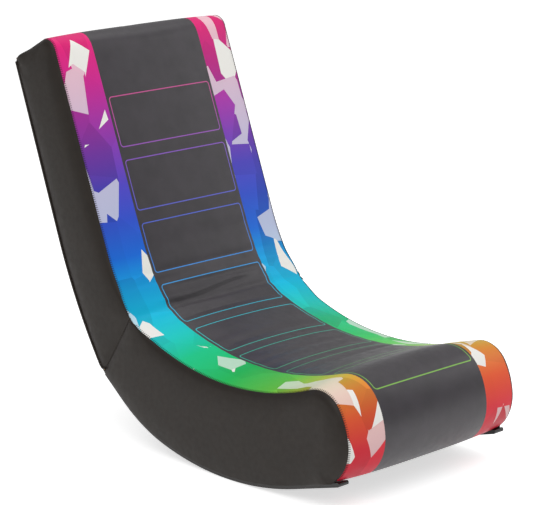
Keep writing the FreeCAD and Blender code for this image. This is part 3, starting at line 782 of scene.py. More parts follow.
    def centre(self, graph: Graph, across: bpy.types.NodeSocket,
               along: bpy.types.NodeSocket) -> bpy.types.NodeSocket:
        """Colour of the centre: charcoal with the thin outlines of its panels.

        Args:
            graph: node tree of the print.
            across: distance from the middle line.
            along: distance from the foot of the nose.

        Returns:
            The colour.
        """
        place = graph.add("TexCoord", out="Object")
        worn = graph.add("TexNoise", {"Vector": place, "Scale": per_mm(30.0), "Detail": 3.0})
        worn = graph.add("MapRange", (worn, 0.35, 0.7))
        charcoal = graph.add("Mix", {FACTOR: worn, FIRST: linear(self.charcoal),
                                     SECOND: linear(self.charcoal_worn)}, MIXED, data_type="RGBA")
        return graph.add("Mix", {FACTOR: self.outlines(graph, across, along), FIRST: charcoal,
                                 SECOND: self.colour_along(graph, along, self.lines)}, MIXED,
                         data_type="RGBA")

    def outlines(self, graph: Graph, across: bpy.types.NodeSocket,
                 along: bpy.types.NodeSocket) -> bpy.types.NodeSocket:
        """Mask of the thin lines round the panels of the centre.

        Args:
            graph: node tree of the print.
            across: distance from the middle line.
            along: distance from the foot of the nose.

        Returns:
            The mask, 1 on a line.
        """
        half_long = self.panel_long / 2
        middle = self.first_panel + half_long
        local = graph.add("Math", (along, middle - self.panel_pitch / 2), operation="SUBTRACT")
        local = graph.add("Math", (local, self.panel_pitch), operation="FLOORED_MODULO")
        local = graph.add("Math", (local, self.panel_pitch / 2), operation="SUBTRACT")
        local = graph.add("Math", (local,), operation="ABSOLUTE")
        side = graph.add("Math", (across, self.panel_half - self.panel_round), operation="SUBTRACT")
        length = graph.add("Math", (local, half_long - self.panel_round), operation="SUBTRACT")
        squares = []
        for reach in (side, length):
            past = graph.add("Math", (reach, 0.0), operation="MAXIMUM")
            squares.append(graph.add("Math", (past, past), operation="MULTIPLY"))
        outer = graph.add("Math", (graph.add("Math", tuple(squares), operation="ADD"),), operation="SQRT")
        inner = graph.add("Math", (side, length), operation="MAXIMUM")
        inner = graph.add("Math", (inner, 0.0), operation="MINIMUM")
        gap = graph.add("Math", (outer, inner), operation="ADD")
        gap = graph.add("Math", (gap, self.panel_round), operation="SUBTRACT")
        gap = graph.add("Math", (gap,), operation="ABSOLUTE")
        drawn = graph.add("MapRange", (gap, self.line * 0.38, self.line * 0.62, 1.0, 0.0))
        spare = (self.panel_pitch - self.panel_long) / 2
        above = graph.add("Math", (along, self.first_panel - spare), operation="GREATER_THAN")
        below = graph.add("Math", (along, self.last_panel + spare), operation="LESS_THAN")
        within = graph.add("Math", (above, below), operation="MULTIPLY")
        return graph.add("Math", (drawn, within), operation="MULTIPLY")


@dataclass(frozen=True)
class Timber:
    """Raw board with grain streaks along one axis."""

    name: str
    light: str
    dark: str
    along: tuple[float, float, float] = (1.0, 8.0, 8.0)
    roughness: float = 0.68

    def make(self) -> bpy.types.Material:
        """Builds the material.

        Returns:
            The material.
        """
        graph = Graph(self.name)
        place = graph.add("Mapping", {"Vector": graph.add("TexCoord", out="Object"), "Scale": self.along})
        streaks = graph.add("TexNoise", {"Vector": place, "Scale": per_mm(60.0), "Detail": 5.0})
        share = graph.add("MapRange", (streaks, 0.35, 0.65))
        colour = graph.add("Mix", {FACTOR: share, FIRST: linear(self.light), SECOND: linear(self.dark)},
                           MIXED, data_type="RGBA")
        normal = graph.add("Bump", {"Distance": 0.15 * MM, "Height": streaks})
        return graph.finish(Base_Color=colour, Roughness=self.roughness, Normal=normal)


@dataclass(frozen=True)
class Cellular:
    """Open-cell foam, with painted shade in its pores."""

    name: str = "open-cell upholstery foam, cut"
    colour: str = "#E4D9A8"
    # Painted shade: the darker colour in the pores, where the bump dips
    pore_shade_colour: str = "#C9BC88"

    def make(self) -> bpy.types.Material:
        """Builds the material.

        Returns:
            The material.
        """
        graph = Graph(self.name)
        place = graph.add("TexCoord", out="Object")
        pores = graph.add("TexVoronoi", {"Vector": place, "Scale": per_mm(1.6)}, "Distance")
        # Painted shade: the colour darkens into the pores, where the bump dips
        share = graph.add("MapRange", (pores, 0.1, 0.6))
        pore_shaded_tint = graph.add("Mix", {FACTOR: share, FIRST: linear(self.pore_shade_colour), SECOND: linear(self.colour)},
                         MIXED, data_type="RGBA")
        normal = graph.add("Bump", {"Distance": 0.5 * MM, "Height": pores})
        return graph.finish(Base_Color=pore_shaded_tint, Roughness=0.95, Normal=normal)


@dataclass(frozen=True)
class Cloth:
    """Matt non-woven lining cloth with a fine pressed dot pattern."""

    name: str = "non-woven lining cloth, matt"
    colour: str = "#1B1A1B"
    fuzz_colour: str = "#262526"

    def make(self) -> bpy.types.Material:
        """Builds the material.

        Returns:
            The material.
        """
        graph = Graph(self.name)
        place = graph.add("TexCoord", out="Object")
        dots = graph.add("TexVoronoi", {"Vector": place, "Scale": per_mm(2.2), "Randomness": 0.0}, "Distance")
        fuzz = graph.add("TexNoise", {"Vector": place, "Scale": per_mm(3.0), "Detail": 4.0})
        share = graph.add("MapRange", (fuzz, 0.35, 0.65))
        colour = graph.add("Mix", {FACTOR: share, FIRST: linear(self.colour),
                                   SECOND: linear(self.fuzz_colour)}, MIXED, data_type="RGBA")
        normal = graph.add("Bump", {"Distance": 0.2 * MM, "Height": dots})
        normal = graph.add("Bump", {"Distance": 0.15 * MM, "Height": fuzz, "Normal": normal})
        return graph.finish(Base_Color=colour, Roughness=0.9, Normal=normal)


@dataclass(frozen=True)
class Plastic:
    """Moulded plastic, more or less glossy, with faint scuffs."""

    name: str
    colour: str
    roughness: float

    def make(self) -> bpy.types.Material:
        """Builds the material.

        Returns:
            The material.
        """
        graph = Graph(self.name)
        place = graph.add("TexCoord", out="Object")
        scuffs = graph.add("TexNoise", {"Vector": place, "Scale": per_mm(14.0), "Detail": 4.0})
        rough = graph.add("MapRange", (scuffs, 0.35, 0.7, self.roughness * 0.85, self.roughness * 1.3))
        grit = graph.add("TexNoise", {"Vector": place, "Scale": per_mm(1.5), "Detail": 2.0})
        normal = graph.add("Bump", {"Distance": 0.02 * MM, "Height": grit})
        return graph.finish(Base_Color=linear(self.colour), Roughness=rough, Normal=normal)


@dataclass(frozen=True)
class ZincSteel:
    """Zinc-plated steel with a fine brushed grain."""

    name: str = "zinc-plated steel, brushed"
    colour: str = "#B9BBBD"

    def make(self) -> bpy.types.Material:
        """Builds the material.

        Returns:
            The material.
        """
        graph = Graph(self.name)
        place = graph.add("TexCoord", out="Object")
        place = graph.add("Mapping", {"Vector": place, "Scale": (1.0, 12.0, 12.0)})
        brushed = graph.add("TexNoise", {"Vector": place, "Scale": per_mm(12.0), "Detail": 3.0})
        rough = graph.add("MapRange", (brushed, 0.3, 0.7, 0.26, 0.42))
        normal = graph.add("Bump", {"Distance": 0.03 * MM, "Height": brushed})
        return graph.finish(Base_Color=linear(self.colour), Metallic=1.0, Roughness=rough, Normal=normal)


@dataclass
class Finishes:
    """All the finishes of the chair, by the record's slot names."""

    made: dict[str, bpy.types.Material] = field(default_factory=dict)

    def build(self) -> "Finishes":
        """Makes every material once.

        Returns:
            Itself.
        """
        recipes = {
            # Coated fabric printed in colour: a soft broad sheen on the charcoal, flatter on the bands
            "printed_leatherette": PrintedLeatherette(),
            # Coated fabric of the sides and the piping: warm black, slow swells and a soft sheen
            "black_leatherette": Leatherette("black-brown leatherette, soft sheen", "#241D17"),
            # Waxed polyester thread: small dark dashes that catch a little light
            "stitching": Plastic("black sewing thread, waxed", "#121112", 0.6),
            # Pressed polypropylene cloth: flat black; its dots are drawn coarser than real, to show
            "lining_cloth": Cloth(),
            # Cut polyurethane foam: pale yellow and quite matt, with painted shade in its pores
            "foam": Cellular(),
            # Sawn plywood and softwood, unfinished: pale and dry, with streaks along the board
            "frame_wood": Timber("raw plywood and softwood", "#C69F6B", "#A97E4B"),
            # Smooth side of hardboard: even dark brown, half matt
            "panel_board": Timber("smooth hardboard", "#7A5636", "#5F4128", (1.0, 1.0, 1.0), 0.5),
            # Moulded plastic that rubs on the floor: dark, with an uneven sheen
            "runner_plastic": Plastic("moulded black-brown plastic, lightly worn", "#241F1C", 0.33),
            # Moulded plastic from a polished mould: sharp reflections
            "glide_plastic": Plastic("glossy black moulding", "#0B0A0A", 0.16),
            # Rolled steel, zinc-plated: cool grey metal with a fine grain along the leaf
            "hinge_steel": ZincSteel(),
        }
        self.made = {slot: recipe.make() for slot, recipe in recipes.items()}
        return self

    def dress(self, piece: bpy.types.Object, finish: str, slot: str | None = None) -> bpy.types.Object:
        """Gives a piece one finish.

        Args:
            piece: the piece.
            finish: slot name of its finish.
            slot: the record's slot, if it is a new piece; not used.

        Returns:
            The same piece.
        """
        piece.data.materials.clear()
        piece.data.materials.append(self.made[finish])
        return piece


# ---------------------------------------------------------------- sub-assemblies
@dataclass(frozen=True)
class Stuffing:
    """Cloth simulation that lets the stuffing's pressure swell a cover held at its seams."""

    pressure: float = 3.0
    seam_surplus: float = 0.03
    frames: int = 20
    reach: float = 8.0 * MM

    def swell(self, piece: bpy.types.Object, held: Callable[[Vector], float]) -> float:
        """Args:
            piece: the cover, a single sheet without modifiers.
            held: how firmly a place of the sheet is sewn down, from 0 for free to 1 for fixed.

        Returns:
            The greatest movement of a point, in metres.
        """
        scene = bpy.context.scene
        sewn = piece.vertex_groups.new(name="sewn")
        gathered = piece.vertex_groups.new(name="gathered")
        start = [vert.co.copy() for vert in piece.data.vertices]
        for index, place in enumerate(start):
            firm = held(place)
            sewn.add([index], 1.0 if firm >= 0.999 else 0.0, "REPLACE")
            gathered.add([index], min(1.0, firm * 1.6), "REPLACE")
        cloth = piece.modifiers.new("stuffing", "CLOTH")
        settings = cloth.settings
        settings.quality = 6
        settings.mass = 0.25
        settings.tension_stiffness = settings.compression_stiffness = 18
        settings.shear_stiffness = 6
        settings.bending_stiffness = 0.6
        settings.tension_damping = 8
        settings.use_pressure = True
        settings.uniform_pressure_force = self.pressure
        settings.vertex_group_mass = sewn.name
        settings.vertex_group_shrink = gathered.name
        settings.shrink_min, settings.shrink_max = 0.0, -self.seam_surplus
        settings.effector_weights.gravity = 0.0
        cloth.collision_settings.use_collision = False
        cloth.point_cache.frame_start, cloth.point_cache.frame_end = 1, self.frames
        for frame in range(1, self.frames + 1):
            scene.frame_set(frame)
        solved = piece.evaluated_get(bpy.context.evaluated_depsgraph_get())
        ends = [vert.co.copy() for vert in solved.to_mesh().vertices]
        solved.to_mesh_clear()
        piece.modifiers.remove(cloth)
        scene.frame_set(1)
        furthest = 0.0
        for vert, first, last in zip(piece.data.vertices, start, ends):
            moved = last - first
            moved *= self.reach / (self.reach + moved.length)
            vert.co = first + moved
            furthest = max(furthest, moved.length)
        piece.vertex_groups.clear()
        return furthest


@dataclass(frozen=True)
class SoftFold:
    """One soft fold across the seat, a ridge with a hollow beside it, in millimetres."""

    middle: float
    slope: float
    depth: float
    width: float
    low: float
    high: float

    def height(self, across: float, along: float) -> float:
        """Height of the fold at a place across the chair and a distance from the foot of the nose.

        Args:
            across: place across the chair.
            along: distance from the foot of the nose.

        Returns:
            Height outwards, in millimetres.
        """
        wander = self.slope * across + 3.0 * math.sin(across / 38.0)
        off = (along - self.middle - wander) / self.width
        started = smooth(across, self.low - 30, self.low + 20)
        ended = smooth(across, self.high - 20, self.high + 40)
        ridge, hollow = math.exp(-off ** 2), math.exp(-(off + 1.9) ** 2)
        return self.depth * started * (1 - ended) * (ridge - 0.7 * hollow)


@dataclass
class PrintedCover:
    """The printed cover, one sheet over nose, seat, fold, back and top."""

    lines: ChairLines
    finishes: Finishes
    thickness: float = 1.6 * MM
    step: float = 7.0 * MM
    columns: int = 60
    tuck: float = 0.7 * MM
    turned_over: float = 9.0 * MM
    crease_depth: float = 1.6 * MM
    crease_width: float = 7.0 * MM
    bend: float = 30.0 * MM
    edge_lift: float = 1.7 * MM
    soft_folds: tuple[SoftFold, ...] = (
        SoftFold(648.0, 0.05, 2.4, 4.5, -110.0, 60.0), SoftFold(672.0, -0.03, 1.2, 6.5, -60.0, 110.0))
    crowns: tuple[tuple[float, float], ...] = (
        (-40.0, 2.0), (0.0, 5.0), (60.0, 8.0), (170.0, 9.5), (300.0, 14.0), (400.0, 16.0), (500.0, 15.0),
        (600.0, 11.0), (700.0, 6.5), (850.0, 4.5), (1100.0, 3.5), (1212.0, 2.0))

    def height(self, across: float, along: float) -> float:
        """Height of the stuffed surface over the side outline.

        Args:
            across: place across the chair.
            along: distance from the foot of the nose.

        Returns:
            Height outwards, in metres.
        """
        radius = self.lines.shoulder(along)
        level = self.lines.side_half - radius
        over = max(0.0, abs(across) - level)
        part = min(1.0, abs(across) / level)
        seam_half, _ = self.lines.seam(along)
        swell = between(along / MM, self.crowns) * MM * (1 - part ** 3.2)
        rounded = radius - math.sqrt(max(0.0, radius ** 2 - over ** 2))
        seam = self.tuck * smooth(abs(across), seam_half - 4 * MM, seam_half)
        off_fold = (along - self.lines.fold_station) / self.crease_width
        crease = self.crease_depth * math.exp(-off_fold ** 2) * (1 - part ** 6)
        return swell - rounded - seam - crease + self.creases(across, along)

    def creases(self, across: float, along: float) -> float:
        """Height of the soft folds across the loin of the seat."""
        return sum(fold.height(across / MM, along / MM) for fold in self.soft_folds) * MM

    def build(self) -> bpy.types.Object:
        """Returns:
            The cover.
        """
        cover, hem = self.lines.cover(), self.lines.hem()
        half = self.lines.seam(0.0)[0]
        beside_seam = (1 * MM, 2 * MM, 3.2 * MM, 4.6 * MM, 7 * MM, 11 * MM)
        columns = stations(half, 2 * half / self.columns, beside_seam, -half)
        folded = [-hem.length + value for value in stations(hem.length, 4.0 * MM)[:-1]]
        loin, lumbar = 590 * MM, 700 * MM
        rows = (folded + stations(loin, self.step) + stations(lumbar, 3 * MM, (), loin)[1:]
                + stations(cover.length, self.step, (), lumbar)[1:]
                + [cover.length + value for value in stations(self.turned_over, 3 * MM)[1:]])

        def place(across: float, along: float) -> Vector:
            """Point of the cover, widened where the shoulder is tight.

            Args:
                across: place across the chair.
                along: distance from the foot of the nose.

            Returns:
                The point.
            """
            wide = self.lines.seam(along)[0] - half
            spread = across + math.copysign(wide * smooth(abs(across), half - 40 * MM, half), across)
            if along < 0:
                low = self.height(spread, 0.0) * smooth(along, -30 * MM, 0.0)
                return hem.at(hem.length + along, low, spread * (1 - 0.02 * smooth(-along, 0.0, 20 * MM)))
            lift = self.edge_lift * smooth(along, cover.length - 10 * MM, cover.length)
            return cover.at(along, self.height(spread, min(along, cover.length)) + lift, spread)

        piece = mesh_object("printed_cover", laid_grid(columns, rows, place))
        fold, rear_edge = cover.at(self.lines.fold_station), cover.at(cover.length)

        def held(spot: Vector) -> float:
            """Seams, hem, crease of the fold and rear edge of the top are sewn down.

            Args:
                spot: a point of the unswelled cover.

            Returns:
                How firmly it is sewn down, from 0 to 1.
            """
            seam = 1 - smooth(abs(spot.x), 150 * MM, half - 1.5 * MM)
            crease = smooth((spot - fold).yz.length, 10 * MM, 45 * MM)
            hemmed = smooth(spot.z, 57 * MM, 80 * MM) if spot.y < -300 * MM else 1.0
            edge = smooth((spot - rear_edge).yz.length, 12 * MM, 40 * MM)
            return 1 - min(seam, crease, hemmed, edge)

        moved = Stuffing().swell(piece, held)
        LOG.info("printed cover swelled by up to %.1f mm", moved / MM)
        thicken(piece, self.thickness)
        self.finishes.dress(piece, "printed_leatherette", "printed_leatherette")
        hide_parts("seat_cover", "back_cover")
        low = cover.at(self.lines.fold_station - self.bend)
        high = cover.at(self.lines.fold_station + self.bend)
        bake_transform(piece)
        return piece


@dataclass(eq=False)
class SideCover:
    """Black side covers of one body, right and left, with the rounded shoulder under the print's seam."""

    lines: ChairLines
    finishes: Finishes
    body: Body
    node: str
    thickness: float = 0.8 * MM
    puff: float = 2.4 * MM
    puff_rise: float = 13.0 * MM
    nose_puff: float = 3.0 * MM
    step: float = 8.0 * MM
    full_run: float = 70.0 * MM
    cut_reach: float = 60.0 * MM

    def edges(self) -> tuple[Outline, Callable[[float], Vector]]:
        """The seam line, and the matching place on the opposite edge for a share of the seam line.

        Returns:
            The seam line, and the function from a share to the opposite place.
        """
        if self.body is Body.BACK:
            front, rear = self.lines.back(), self.lines.rear()
            return front, lambda share: rear.at(rear.length * share)
        seat, rocker, fold = self.lines.seat(), self.lines.rocker(), self.lines.fold()
        rise = self.lines.underside_rise
        low = self.meeting(rocker, rise, seat.start, seat.heading, 0.0)
        high = self.meeting(rocker, rise, (fold.y, fold.z), -self.lines.split_lean, rocker.length)
        return seat, lambda share: rocker.at(low + (high - low) * share, rise)

    @staticmethod
    def meeting(line: Outline, height: float, through: tuple[float, float], heading: float,
                near: float) -> float:
        """Distance along a raised line at which it meets a straight one.

        Args:
            line: the raised line.
            height: its height.
            through: a point of the straight line.
            heading: heading of the straight line.
            near: where to start the search.

        Returns:
            Distance along the line.
        """
        across = outward(heading)
        origin = Vector((0.0, *through))
        low, high = (0.0, line.length / 3) if near < line.length / 2 else (line.length / 2, line.length)
        sign = (line.at(low, height) - origin).dot(across) > 0
        for _ in range(60):
            middle = (low + high) / 2
            if ((line.at(middle, height) - origin).dot(across) > 0) == sign:
                low = middle
            else:
                high = middle
        return low

    def boundary(self) -> tuple[list[Vector], list[Vector], list[Vector]]:
        """Seam, opposite edge and split of the cover as polylines in the side plane.

        Returns:
            The three polylines.
        """
        seam, opposite = self.edges()
        split = [self.lines.fold(), self.lines.split().at(self.lines.split_depth * 1.1)]
        return seam.polyline(3 * MM), [opposite(index / 160) for index in range(161)], split

    def build(self) -> list[bpy.types.Object]:
        """Models, dresses and places both covers.

        Returns:
            Right and left cover.
        """
        seam, opposite = self.edges()
        base = 0.0 if self.body is Body.SEAT else self.lines.fold_station
        fine = (0.4 * MM, 1.2 * MM, 2.2 * MM, 3.5 * MM, 6.0 * MM)
        columns = stations(seam.length, self.step, fine)
        by_seam = [value * MM for value in (0.0, 0.35, 1.2, 2.6, 4.4, 6.6, 9.0, 13.0, 20.0, 30.0)]
        by_foot = [value * MM for value in (5.0, 3.0, 1.6, 0.6, 0.0)]
        steps_between = 12
        first_foot = len(by_seam) + steps_between - 1
        rows = range(first_foot + len(by_foot))
        seam_line, far_line, split_line = self.boundary()

        def place(along: float, row: int) -> Vector:
            """Point of the right-hand cover: close rows by the seam and the foot, even ones between.

            Args:
                along: distance along the seam.
                row: number of the row, from the seam.

            Returns:
                The point.
            """
            top = seam.at(along, -self.lines.seam(base + along)[1])
            foot = opposite(along / seam.length)
            run = (foot - top).length
            scale = min(1.0, run / self.full_run)
            if row < len(by_seam):
                down = by_seam[row] * scale
            elif row >= first_foot:
                down = run - by_foot[row - first_foot] * scale
            else:
                low, high = by_seam[-1] * scale, run - by_foot[0] * scale
                down = low + (high - low) * (row - len(by_seam) + 1) / steps_between
            point = top + (foot - top) * (down / run if run > 1e-6 else 0.0)
            point.x = -self.reach(point, seam_line, far_line, split_line, self.lines.shoulder(base + along))
            return point

        bm = laid_grid(columns, rows, place)
        bmesh.ops.remove_doubles(bm, verts=bm.verts[:], dist=0.02 * MM)
        axis = self.lines.axis()
        near_axis = {face for face in bm.faces
                     if (face.calc_center_median() - axis).yz.length < self.cut_reach}
        rims = {edge for face in near_axis for edge in face.edges}
        ends = {vert for face in near_axis for vert in face.verts}
        bmesh.ops.bisect_plane(bm, geom=[*ends, *rims, *near_axis], dist=0.01 * MM, plane_co=axis,
                               plane_no=heading_vector(self.lines.clearance(self.body)), clear_outer=True)
        facing = sum(face.normal.x * face.calc_area() for face in bm.faces)
        if facing > 0:
            bmesh.ops.reverse_faces(bm, faces=bm.faces[:])
        rim = {tuple(round(value, 6) for value in vert.co) for vert in bm.verts if vert.is_boundary}
        right = mesh_object(self.node + "_shell_right", bm)

        def held(spot: Vector) -> float:
            """The whole rim is sewn down.

            Args:
                spot: a point of the unswelled cover.

            Returns:
                How firmly it is sewn down, from 0 to 1.
            """
            if tuple(round(value, 6) for value in spot) in rim:
                return 1.0
            inner = min(line_distance(spot, line) for line in (seam_line, far_line, split_line))
            return min(0.99, 1 - smooth(inner, 4 * MM, 45 * MM))

        moved = Stuffing(pressure=2.5, reach=5.0 * MM).swell(right, held)
        LOG.info("%s swelled by up to %.1f mm", right.name, moved / MM)
        thicken(right, self.thickness)
        left = mirrored(right, self.node + "_shell_left")
        for piece, side in ((right, "right"), (left, "left")):
            self.finishes.dress(piece, "black_leatherette", "black_leatherette")
            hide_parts(f"{self.node}_{side}")
            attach(piece, self.body.value)
        return [right, left]

    def reach(self, point: Vector, seam: Sequence[Vector], far: Sequence[Vector], split: Sequence[Vector],
              shoulder: float) -> float:
        """How far out the cover stands at a point of the side plane.

        Args:
            point: a place in the side plane.
            seam: the seam line.
            far: the opposite edge.
            split: the split.
            shoulder: radius of the shoulder at the seam.

        Returns:
            Distance from the middle plane.
        """
        def drop(distance: float, radius: float) -> float:
            """Fall of a rounded edge at a distance from it.

            Args:
                distance: distance from the edge.
                radius: radius of the edge.

            Returns:
                The fall.
            """
            if distance >= radius:
                return 0.0
            return radius - math.sqrt(max(0.0, radius ** 2 - (radius - distance) ** 2))

        top, foot, cut = line_distance(point, seam), line_distance(point, far), line_distance(point, split)
        inner = min(top, foot, cut)
        swell = self.puff * (1 - math.exp(-inner / self.puff_rise))
        wave = 0.5 * MM * noise.noise(Vector((0.0, point.y, point.z)) * 14.0) * smooth(inner, 0.0, 30 * MM)
        edge = self.lines.edge_round
        front = 1 - smooth(point.y, -370 * MM, -240 * MM)
        nose = self.nose_puff * front * smooth(top, 0.0, 20 * MM) * (1 - smooth(top, 20 * MM, 70 * MM))
        out = self.lines.side_half + swell + wave + nose
        return out - drop(top, shoulder) - drop(foot, edge) - drop(cut, edge)


@dataclass
class FoldGusset:
    """Small soft corner of the side covers over the hinge axis."""

    lines: ChairLines
    finishes: Finishes
    seat: SideCover
    back: SideCover
    half_width: float = 9.2 * MM

    def build(self) -> list[bpy.types.Object]:
        """Models both corners.

        Returns:
            Right and left corner.
        """
        cover, axis = self.lines.cover(), self.lines.axis()
        fold = self.lines.fold_station
        _, depth = self.lines.seam(fold)
        split_way = heading_vector(-self.lines.split_lean)
        lines = {side: side.boundary() for side in (self.seat, self.back)}

        def place(along: float, share: float) -> Vector:
            """Point of the right-hand corner, from the seam down to the hinge axis.

            Args:
                along: distance from the fold.
                share: share of the way down to the axis.

            Returns:
                The point.
            """
            top = cover.at(fold + along, -depth)
            point = top + (axis - top) * share
            side = self.seat if (point - axis).cross(split_way).x < 0 else self.back
            point.x = -side.reach(point, *lines[side], self.lines.shoulder_tight)
            return point

        columns = stations(self.half_width, 1.5 * MM, (), -self.half_width)
        bm = laid_grid(columns, (0.0, 0.25, 0.5, 0.75, 1.0), place)
        bmesh.ops.remove_doubles(bm, verts=bm.verts[:], dist=0.02 * MM)
        if sum(face.normal.x * face.calc_area() for face in bm.faces) > 0:
            bmesh.ops.reverse_faces(bm, faces=bm.faces[:])
        right = thicken(mesh_object("fold_corner_right", bm), self.seat.thickness)
        left = mirrored(right, "fold_corner_left")
        start, end = cover.at(fold - self.half_width), cover.at(fold + self.half_width)
        for piece in (right, left):
            self.finishes.dress(piece, "black_leatherette", "black_leatherette")
            tuple(start)
            tuple(end)
            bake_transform(piece)
        return [right, left]


@dataclass
class Stitching:
    """Rows of short stitches across the seams between print and side covers."""

    lines: ChairLines
    finishes: Finishes
    pitch: float = 3.5 * MM
    length: float = 3.6 * MM
    radius: float = 0.45 * MM
    inset: float = 1.5 * MM
    lift: float = 0.25 * MM
    fold_gap: float = 10.0 * MM

    def build(self, cover: PrintedCover) -> list[bpy.types.Object]:
        """Models the stitches of both bodies.

        Args:
            cover: the printed cover that they lie on.

        Returns:
            The stitches of each body.
        """
        line = self.lines.cover()
        fold = self.lines.fold_station
        rows = ((Body.SEAT, 6 * MM, fold - self.fold_gap),
                (Body.BACK, fold + self.fold_gap, line.length - 12 * MM))
        pieces = []
        for body, low, high in rows:
            bm = bmesh.new()
            for side in Side:
                for index in range(int((high - low) / self.pitch)):
                    along = low + index * self.pitch
                    across = self.lines.seam(along)[0] - self.inset
                    height = cover.height(across, along) + self.lift
                    middle = line.at(along, height, side.value * across)
                    slope = cover.height(across + 1 * MM, along) - cover.height(across - 1 * MM, along)
                    heading = (Vector((side.value * 2 * MM, 0, 0))
                               + outward(line.frame(along)[1]) * slope).normalized()
                    turn = heading.to_track_quat("Z", "Y").to_matrix().to_4x4()
                    bmesh.ops.create_cone(bm, cap_ends=True, segments=6, radius1=self.radius,
                                          radius2=self.radius, depth=self.length,
                                          matrix=Matrix.Translation(middle) @ turn)
            piece = mesh_object(f"{body.value}_seam_stitches", bm)
            self.finishes.dress(piece, "stitching", "black_leatherette")
            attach(piece, body.value)
            pieces.append(piece)
        return pieces


@dataclass
class Foam:
    """Foam slabs under the printed cover."""

    lines: ChairLines
    finishes: Finishes
    gap: float = 3.4 * MM

    def build(self, cover: PrintedCover) -> list[bpy.types.Object]:
        """Models the seat and back slabs, a little below the cover.

        Args:
            cover: the printed cover over them.

        Returns:
            Seat slab and back slab.
        """
        seat, back = self.lines.seat(), self.lines.back()
        half = self.lines.side_half - self.lines.shoulder_wide - 2 * MM
        pieces = []
        for name, body, node, line, low, high, thick in (
                ("seat_foam", Body.SEAT, "seat_pad", seat, 6 * MM, seat.length - 42 * MM, 36.0 * MM),
                ("back_foam", Body.BACK, "back_pad", back, 42 * MM, back.length - 22 * MM, 7.5 * MM)):
            top = [half * (index / 8 - 1) for index in range(17)]
            section = [*top, half, -half, -half]
            base = 0.0 if body is Body.SEAT else seat.length

            def place(corner: float, along: float, line: Outline = line, section: Sequence[float] = section,
                      thick: float = thick, base: float = base) -> Vector:
                """Point of the slab's skin, round its section and along the chair.

                Args:
                    corner: number of the point round the section.
                    along: distance along the slab.
                    line: side outline of the slab.
                    section: places across the chair, round the section.
                    thick: thickness under the outline.
                    base: distance from the foot of the nose to the line.

                Returns:
                    The point.
                """
                number = round(corner)
                across = section[number]
                under = number in (len(top), len(top) + 1)
                height = -thick if under else cover.height(across, base + along) - self.gap
                return line.at(along, height, across)

            bm = laid_grid(range(len(section)), stations(high, 9 * MM, (), low), place)
            bmesh.ops.remove_doubles(bm, verts=bm.verts[:], dist=0.01 * MM)
            bmesh.ops.holes_fill(bm, edges=[edge for edge in bm.edges if edge.is_boundary], sides=0)
            bmesh.ops.recalc_face_normals(bm, faces=bm.faces[:])
            piece = mesh_object(name, bm, shaded_smooth=False)
            self.finishes.dress(piece, "foam", "foam")
            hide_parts(node)
            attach(piece, body.value)
            pieces.append(piece)
        return pieces


